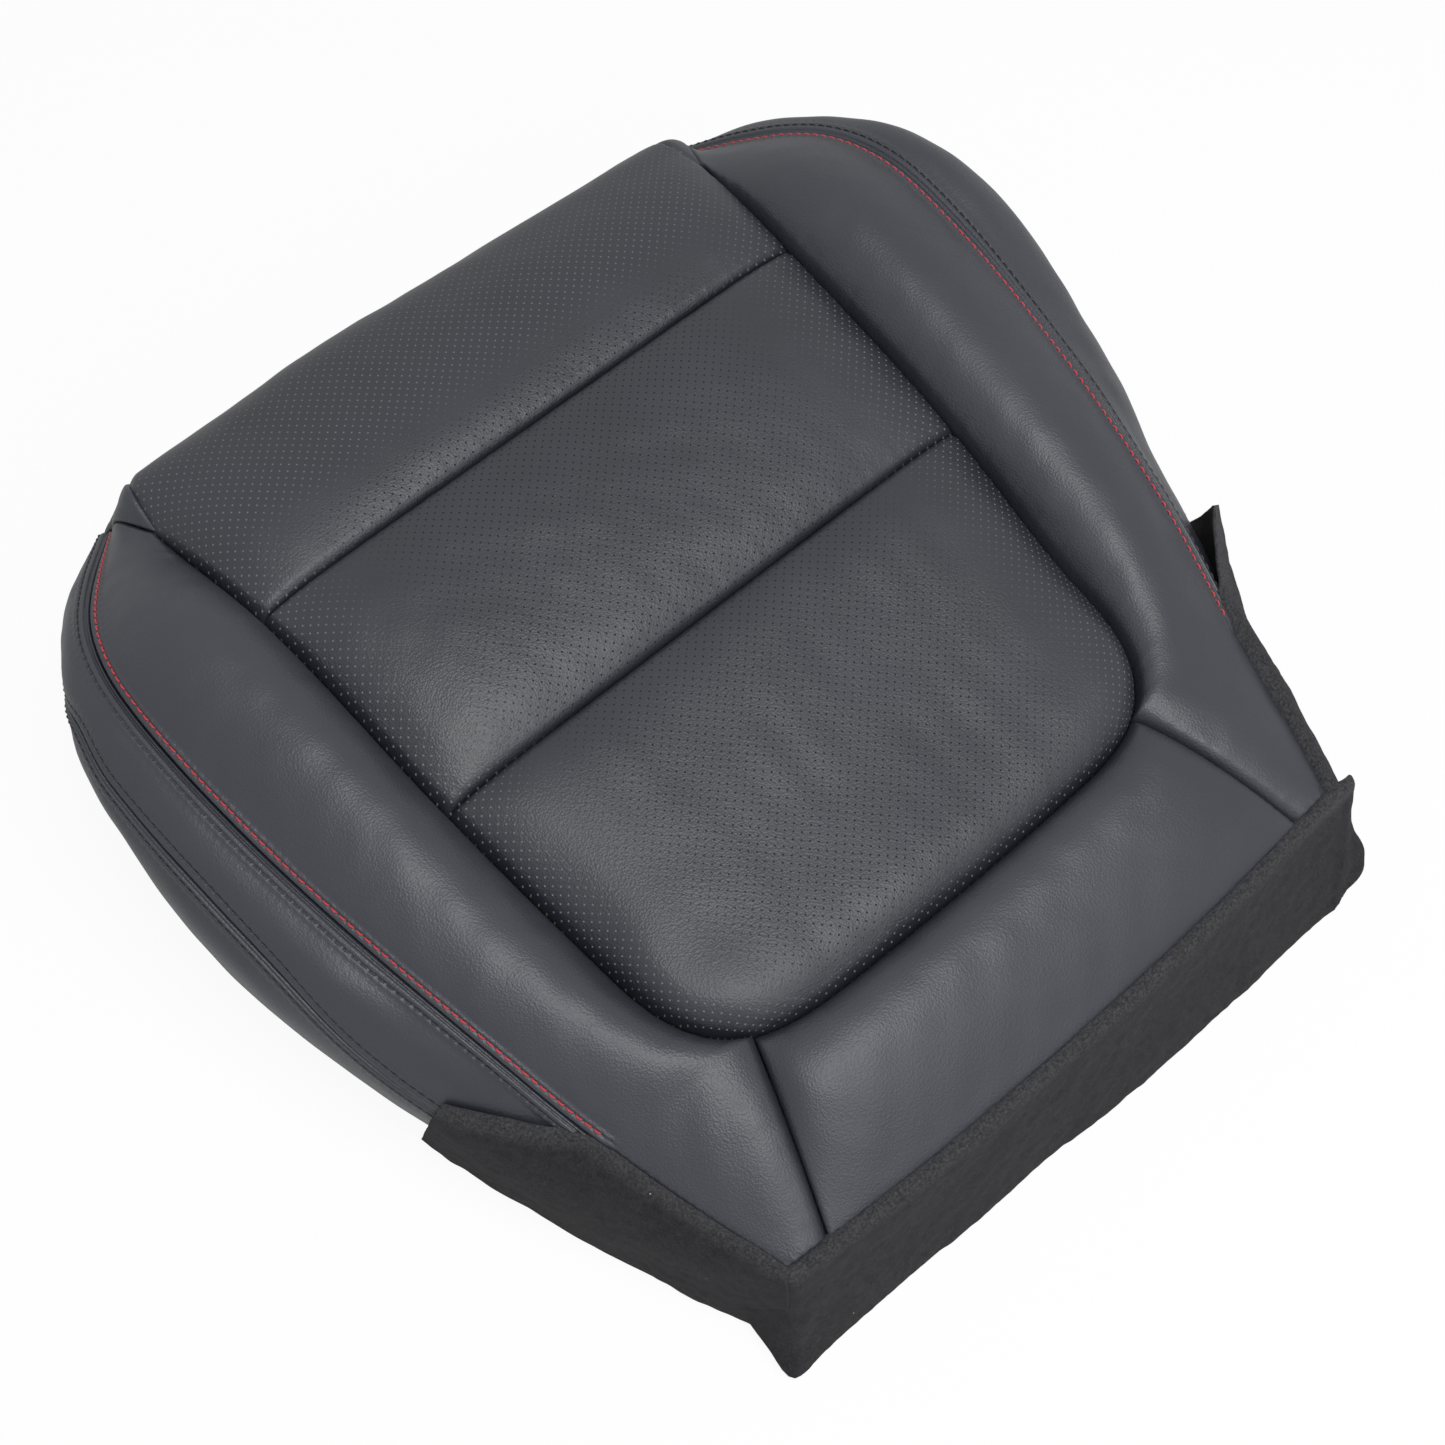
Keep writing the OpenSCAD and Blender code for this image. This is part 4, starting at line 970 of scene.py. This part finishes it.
SIDE_ROWS = 1.25  # step of the side panels' rows, finer than the rest for the bend at the front
sewn = {}
for side, mirror in (("left", False), ("right", True)):
    seed = 20 if mirror else 10
    low_seam, fullness = (low_seam_right, full_right) if mirror else (low_seam_left, full_left)
    bolster = Panel(
        f"{side}_bolster", bolster_surface, TOP_OUT, seams(groove_deep, red_side, last=hem_edge),
        far=FINE_SEAM, row_step=SIDE_ROWS, rows_at=0.97, mirror=mirror, settle=6, seed=seed)
    wing = Panel(
        f"{side}_wing", wing_surface, (0.2, -0.6, 1),
        {"start": tight_seam, "end": tight_seam, "first": low_upper}, [roll_shape_wing], rows_at=1.0,
        mirror=mirror, seed=seed + 1)
    upper = Panel(
        f"{side}_upper_side", facing_surface(0, W_SEAM, low_seam), SIDE_OUT, seams(black_side, low_upper),
        [lambda g, dist: ease(fullness, g[..., 1]) * ramp(dist["start"] / 20), puffed], FINE_SEAM, FINE_SEAM,
        row_step=SIDE_ROWS, rows_at=0.1, mirror=mirror, seed=seed + 2)
    lower = Panel(
        f"{side}_lower_side", facing_surface(W_SEAM, 2, low_seam), (1, 0, -0.3), seams(low_lower, hem_edge),
        [lambda g, dist: ease(fullness, g[..., 1]) * ramp(dist["end"] / 60)], FINE_SEAM, step=STEP * 1.4,
        row_step=SIDE_ROWS, rows_at=0.1, mirror=mirror, seed=seed + 3)
    for panel, kind in ((bolster, "panel"), (wing, "panel"), (upper, "facing"), (lower, "facing")):
        leather_piece(panel, f"{panel.name}_{kind}")
    sewn[side] = (bolster, upper, lower)


# ---- threads
THREAD_R, HEAVY_THREAD_R, STITCH_LENGTH, THREAD_SINK = 0.42, 0.48, 4.1, 0.1
ROPE_SIDES, ROPE_RINGS = 8, 9


def topstitch(name, row, material=BLACK, radius=THREAD_R):
    """A row of lockstitches: each a short bowed rope from needle hole to needle hole."""
    pts, nrm, run = row
    verts, faces, uvs = [], [], []
    sides, rings = ROPE_SIDES, ROPE_RINGS
    turn = np.linspace(0, 2 * math.pi, sides, endpoint=False)
    t = np.linspace(-1, 1, rings)
    bow = (1 - t ** 4) * 0.5 - THREAD_SINK
    r = radius * np.sqrt(np.clip(1 - np.abs(t) ** 5, 0.02, 1))
    ply = 1 + 0.1 * np.cos(3 * turn[None, :] + 5 * t[:, None])
    for i in range(int((run[-1] - 3) / STITCH_PITCH)):
        mid = (i + 0.5) * STITCH_PITCH
        at = mid + t * STITCH_LENGTH / 2
        p, n = [np.stack([np.interp(at, run, v[:, k]) for k in range(3)], axis=-1) for v in (pts, nrm)]
        line = unit(np.gradient(p, axis=0))
        side = unit(np.cross(line, unit(n)))
        n = np.cross(side, line)
        ring = (p + n * bow[:, None])[:, None, :] + r[:, None, None] * ply[..., None] * (
            np.cos(turn)[None, :, None] * side[:, None, :] + np.sin(turn)[None, :, None] * n[:, None, :])
        base = len(verts)
        end = base + rings * sides
        verts += ring.reshape(-1, 3).tolist() + [p[0] + n[0] * bow[0], p[-1] + n[-1] * bow[-1]]
        uvs += [(j / sides, mid + t[a]) for a in range(rings) for j in range(sides)] + [
            (0, mid - 1), (0, mid + 1)]
        for a in range(base, end - sides, sides):
            faces += [
                (a + j, a + (j + 1) % sides, a + sides + (j + 1) % sides,
                a + sides + j) for j in range(sides)]
        for j in range(sides):
            k = (j + 1) % sides
            faces += [(end, base + k, base + j), (end + 1, end - sides + j, end - sides + k)]
    obj = mesh_object(name, to_metres(np.array(verts)), faces, material, uvs)
    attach(obj, "cushion")


for side, (bolster, upper, lower) in sewn.items():
    topstitch(f"{side}_red_topstitch", bolster.stitch_line("end", RED_AT, Y_SEWN), RED, HEAVY_THREAD_R)
    topstitch(f"{side}_outer_topstitch", upper.stitch_line("start", BLACK_AT))
    topstitch(f"{side}_low_upper_topstitch", upper.stitch_line("end", LOW_AT))
    topstitch(f"{side}_low_lower_topstitch", lower.stitch_line("start", LOW_AT))
topstitch("front_upper_topstitch", insert_front.stitch_line("first", LOW_AT))
topstitch("front_lower_topstitch", front_border.stitch_line("start", LOW_AT))


# ---- felt flaps
def flap_reach(s, w):
    g = mix(EDGE_GAP, FELT_GAP, ramp(w * 1.5))
    d = side_reach(s, np.ones_like(w)) + FELT_GAP
    o = mix(FLAP_OUT_FRONT, FLAP_OUT_REAR, (s - S_FLAP) / (2 - S_FLAP))
    below = mix(d, o, ramp(w - 1) * 0.5 + (w - 1) * 0.5)
    return np.where(w <= 1, side_reach(s, np.minimum(w, 1)) + g, below)


def flap_surface(end, tail=(0, 0, 0)):
    """Inner face of a side flap: r 0 at its free front end, 1 at the rear corner, c 0 at its top edge.
    tail is how far the low rear corner is drawn out of its plain place."""
    top, lean, flare, close = end

    def surface(r, c):
        at = mix(S_FLAP, 2, r)
        k = held((S_SEWN - at) / (S_SEWN - S_FLAP))
        s, w = at + lean * k * (1 - c), mix(top * k, 2 - 0.12 * k, c)
        p, n = seam_point(s), seam_out(s)
        d = (
            flap_reach(s, w) + flare * k ** 1.5 * (1 - 0.6 * c) - close * (1 + c) * ramp((0.85 - r) / 0.5)
            * ramp(4 * c))
        z = np.where(w <= 1, side_z(s, np.minimum(w, 1)), mix(side_z(s, np.ones_like(w)), FELT_LIFT, w - 1))
        turn = ease(SEWN_TURN, c) * ramp(1 - 3 * k)[..., None]
        out = d + turn[..., 0]
        drawn = (held((r - 0.42) / 0.5) ** 1.4 * c ** 0.8)[..., None] * np.array(tail, float)
        return stack(p[..., 0] + n[..., 0] * out, p[..., 1] + n[..., 1] * out, z + turn[..., 1]) + drawn
    return surface


# ends of the rear flap, each from its sewn edge (0) down to its free edge (1)
skirt_right_end = [
    (0, (-187.5, 501, 66)), (0.12, (-188, 503.7, 60)), (0.4, (-182.5, 511, 40)), (0.7, (-184.7, 525, 21)),
    (0.88, (-177, 530.5, 11)), (1, (-160, 532, 5))]
skirt_left_fold = [
    (0, (172, 503, HEM_Z)), (0.5, (180, 514.5, 35)), (0.9, (188, 524, 8)), (1, (191.5, 528, 2))]
skirt_left_end = [(0, (175.5, 495, HEM_Z + 0.5)), (0.5, (182.5, 496, 33)), (1, (187, 493.5, 5))]
SKIRT_FOLD = 0.935


def skirt_plain(u, w):
    x = u * (REAR_W / 2 + mix(-2, SKIRT_SPREAD, w))
    e = np.minimum(np.abs(x), REAR_W / 2)
    y = hem_y(e) + EDGE_GAP + mix(0, SKIRT_OUT - EDGE_GAP, w) + (hem_y(0) - hem_y(e)) * w * 0.75
    drawn_in = 6 * w ** 1.5 * ramp((u + 0.3) / 0.6)
    return stack(x, y - drawn_in, mix(HEM_Z, FELT_LIFT, w))


def skirt_surface(r, c):
    """Rear flap: r 0 at its right end, 1 at its left end wrapped round the corner, c 0 at its top edge."""
    u = 2 * np.minimum(r / SKIRT_FOLD, 1) - 1
    p = skirt_plain(u, c)
    right = ease(skirt_right_end, c) - skirt_plain(-1 + 0 * u, c)
    left = ease(skirt_left_fold, c) - skirt_plain(1 + 0 * u, c)
    near_right, near_left = [(held(1 - (1 + u * side) / 0.22) ** 2)[..., None] for side in (1, -1)]
    turn = ease(SEWN_TURN, c) * (1 - near_right)
    p = p + right * near_right + stack(0 * u, turn[..., 0], turn[..., 1])
    p = p + left * near_left
    q = held((r - SKIRT_FOLD) / (1 - SKIRT_FOLD))
    arch = 4.5 * np.sin(math.pi * q) * c ** 4
    round_corner = ease(skirt_left_end, c) - ease(skirt_left_fold, c)
    return p + round_corner * q[..., None] + stack(0 * q, 0 * q, arch)


FELT_EDGE, FELT_STEP = (0.0, 0.8, 1.8, 3.0, 4.5, 6.5), 2.2
FELT_GRADES = 8  # grades of thickness between the sewn edge and the full felt


def felt_piece(name, node_name, body, surface, outward, waves, mirror=False):
    """A loose flap of felt. Its pattern and its thickness are measured from the leather's hem."""
    rows = even_places(surface, FELT_EDGE, FELT_EDGE, FELT_STEP)
    g = relaxed(lay(surface, rows, FELT_EDGE, FELT_EDGE, FELT_STEP), 2, 0.5)
    if mirror:
        g = g * [-1, 1, 1]
    n = grid_normals(g, np.array(outward, float))
    across, down = along(g, 1), along(g, 0)
    fall = across / across[:, -1:]
    seed = len(name)
    height = (
        waves(g, fall, down) + 0.35 * unevenness(g, 34, seed) * ramp(across / 12) + 0.15 * unevenness(g, 9,
        seed + 3))
    mid = g + n * (1.5 + np.maximum(height, -0.6))[..., None]
    ragged = 0.22 * unevenness(g, 7, seed + 5) * ramp((fall - 0.8) / 0.2)
    mid = mid + unit(np.gradient(g, axis=1)) * ragged[..., None]
    out = across - UNDER_HEM
    obj = mesh_object(
        name, to_metres(mid.reshape(-1, 3)), grid_faces(*g.shape[:2], faces_outward(g, n)), FELT,
        (np.stack([out, down], axis=-1) / 1000).reshape(-1, 2))
    solid = obj.modifiers.new("felt_thickness", "SOLIDIFY")
    solid.thickness, solid.offset = FELT_T / 1000, 0
    full = obj.vertex_groups.new(name="full_thickness")
    share = np.round(FELT_GRADES * ramp(out / 7)).astype(int).ravel()
    for step in range(FELT_GRADES + 1):
        full.add(np.flatnonzero(share == step).tolist(), step / FELT_GRADES, "REPLACE")
    solid.vertex_group, solid.thickness_vertex_group = full.name, SEWN_SHARE
    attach(obj, body)
    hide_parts(node_name)


def skirt_waves(g, fall, down):
    x = g[..., 0]
    crease = dip(x, mix(-187, -161, fall), 3.5) * ramp(fall * 3)
    return (
        fall ** 1.4 * (1.3 * np.sin(x / 37 + 0.6) + 0.4 * np.sin(x / 13.5 + 2.1)) + 0.8 * dip(fall, 0.06,
        0.05) + 1.4 * crease)


def side_waves(length, phase):
    return lambda g, fall, down: fall ** 1.5 * 1.2 * np.sin(down / length + phase)


felt_piece(
    "rear_felt", "rear_felt_flap", "rear_flap", skirt_surface, (0, 1, 0.3), skirt_waves)
felt_piece(
    "left_felt", "left_felt_flap", "left_flap", flap_surface(LEFT_END, LEFT_TAIL), (1, 0.3, 0), side_waves(24,
    1.0))
felt_piece(
    "right_felt", "right_felt_flap", "right_flap", flap_surface(RIGHT_END), (-1, 0.3, 0), side_waves(27, 2.4),
    mirror=True)

# ---- foam, wires and hooks
foam_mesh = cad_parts["foam_bun"].data.copy()
foam_mesh.name = "foam_pad"
foam = placed("foam_pad", foam_mesh)
remesh = foam.modifiers.new("foam_skin", "REMESH")
remesh.mode, remesh.voxel_size, remesh.use_smooth_shade = "VOXEL", 0.004, True
pressed = foam.modifiers.new("pressed_by_cover", "DISPLACE")
pressed.strength, pressed.mid_level = -0.0022, 0.0
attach(foam, "cushion")
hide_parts("foam_bun")


def coated(mesh, material):
    mesh.materials.clear()
    mesh.materials.append(material)


coated(foam_mesh, FOAM)
for name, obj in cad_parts.items():
    if "wire" in name or name == "hog_rings":
        coated(obj.data, STEEL)
    elif "hook" in name:
        coated(obj.data, PLASTIC)


# ---- camera, lights and floor
def stand(obj, x, y, z, place):
    """Sets an object's own directions and its place, in metres."""
    obj.matrix_world = Matrix([[x[i], y[i], z[i], place[i]] for i in range(3)] + [[0, 0, 0, 1]])


AZIMUTH, ELEVATION, EYE = math.radians(138.628), math.radians(62.006), (0.368127, 0.413139, 1.063089)
back = (
    math.sin(AZIMUTH) * math.cos(ELEVATION), -math.cos(AZIMUTH) * math.cos(ELEVATION), math.sin(ELEVATION))
right = (math.cos(AZIMUTH), math.sin(AZIMUTH), 0.0)
lens = bpy.data.cameras.new("camera")
lens.lens, lens.sensor_width, lens.sensor_fit = 58.414, 36.0, "HORIZONTAL"
camera = placed("camera", lens)
stand(camera, right, tuple(np.cross(back, right)), back, EYE)
bpy.context.scene.camera = camera


def soft_box(name, place, wide, deep, watts, aim=(0, 0.1, 0.1)):
    light = bpy.data.lights.new(name, "AREA")
    light.shape, light.size, light.size_y, light.energy = "RECTANGLE", wide, deep, watts
    z = unit(np.array(place, float) - np.array(aim, float))
    x = unit(np.cross((0, 1, 0.01), z))
    stand(placed(name, light), x, np.cross(z, x), z, place)


soft_box("overhead", (0.05, 0.5, 1.9), 0.8, 0.8, 23)
soft_box("behind", (-0.1, 1.5, 1.3), 1.1, 0.8, 7.5)

# dim light from all round, and plain white where the world itself is seen
world = bpy.data.worlds.new("studio")
bpy.context.scene.world = world
world.use_nodes = True
tree = world.node_tree
tree.nodes.clear()
rays = node(tree, "LightPath").outputs
seen = maths(tree, "MAXIMUM", rays["Is Camera Ray"], rays["Is Transmission Ray"])
seen = maths(tree, "MAXIMUM", seen, rays["Is Glossy Ray"])
dim, white = [node(tree, "Background", Color=(1, 1, 1, 1), Strength=s).outputs[0] for s in (0.32, 1.0)]
node(tree, "OutputWorld", _0=node(tree, "MixShader", _0=seen, _1=dim, _2=white).outputs[0])


def studio_floor(size=6.0):
    """Matt white studio floor that keeps the cushion's own shadow."""
    f = Finish("white_floor", Roughness=0.9, Specular_IOR_Level=0.0, Base_Color=linear("#f4f4f4"))
    # the sweep's own white shows through its shading to the eye
    share = maths(f.tree, "MULTIPLY", f.get("LightPath", "Is Camera Ray"), 0.93)
    sweep = f.get("Emission", Color=(1, 1, 1, 1), Strength=1.0)
    both = f.get("MixShader", _0=share, _1=f.shader.outputs[0], _2=sweep)
    f.tree.links.new(both, f.tree.nodes["Material Output"].inputs[0])
    corners = [(-size, -size, 0), (size, -size, 0), (size, size, 0), (-size, size, 0)]
    obj = mesh_object("floor", corners, [(0, 1, 2, 3)], f.material, smooth=False)


studio_floor()
bpy.context.scene.view_settings.view_transform = "Standard"
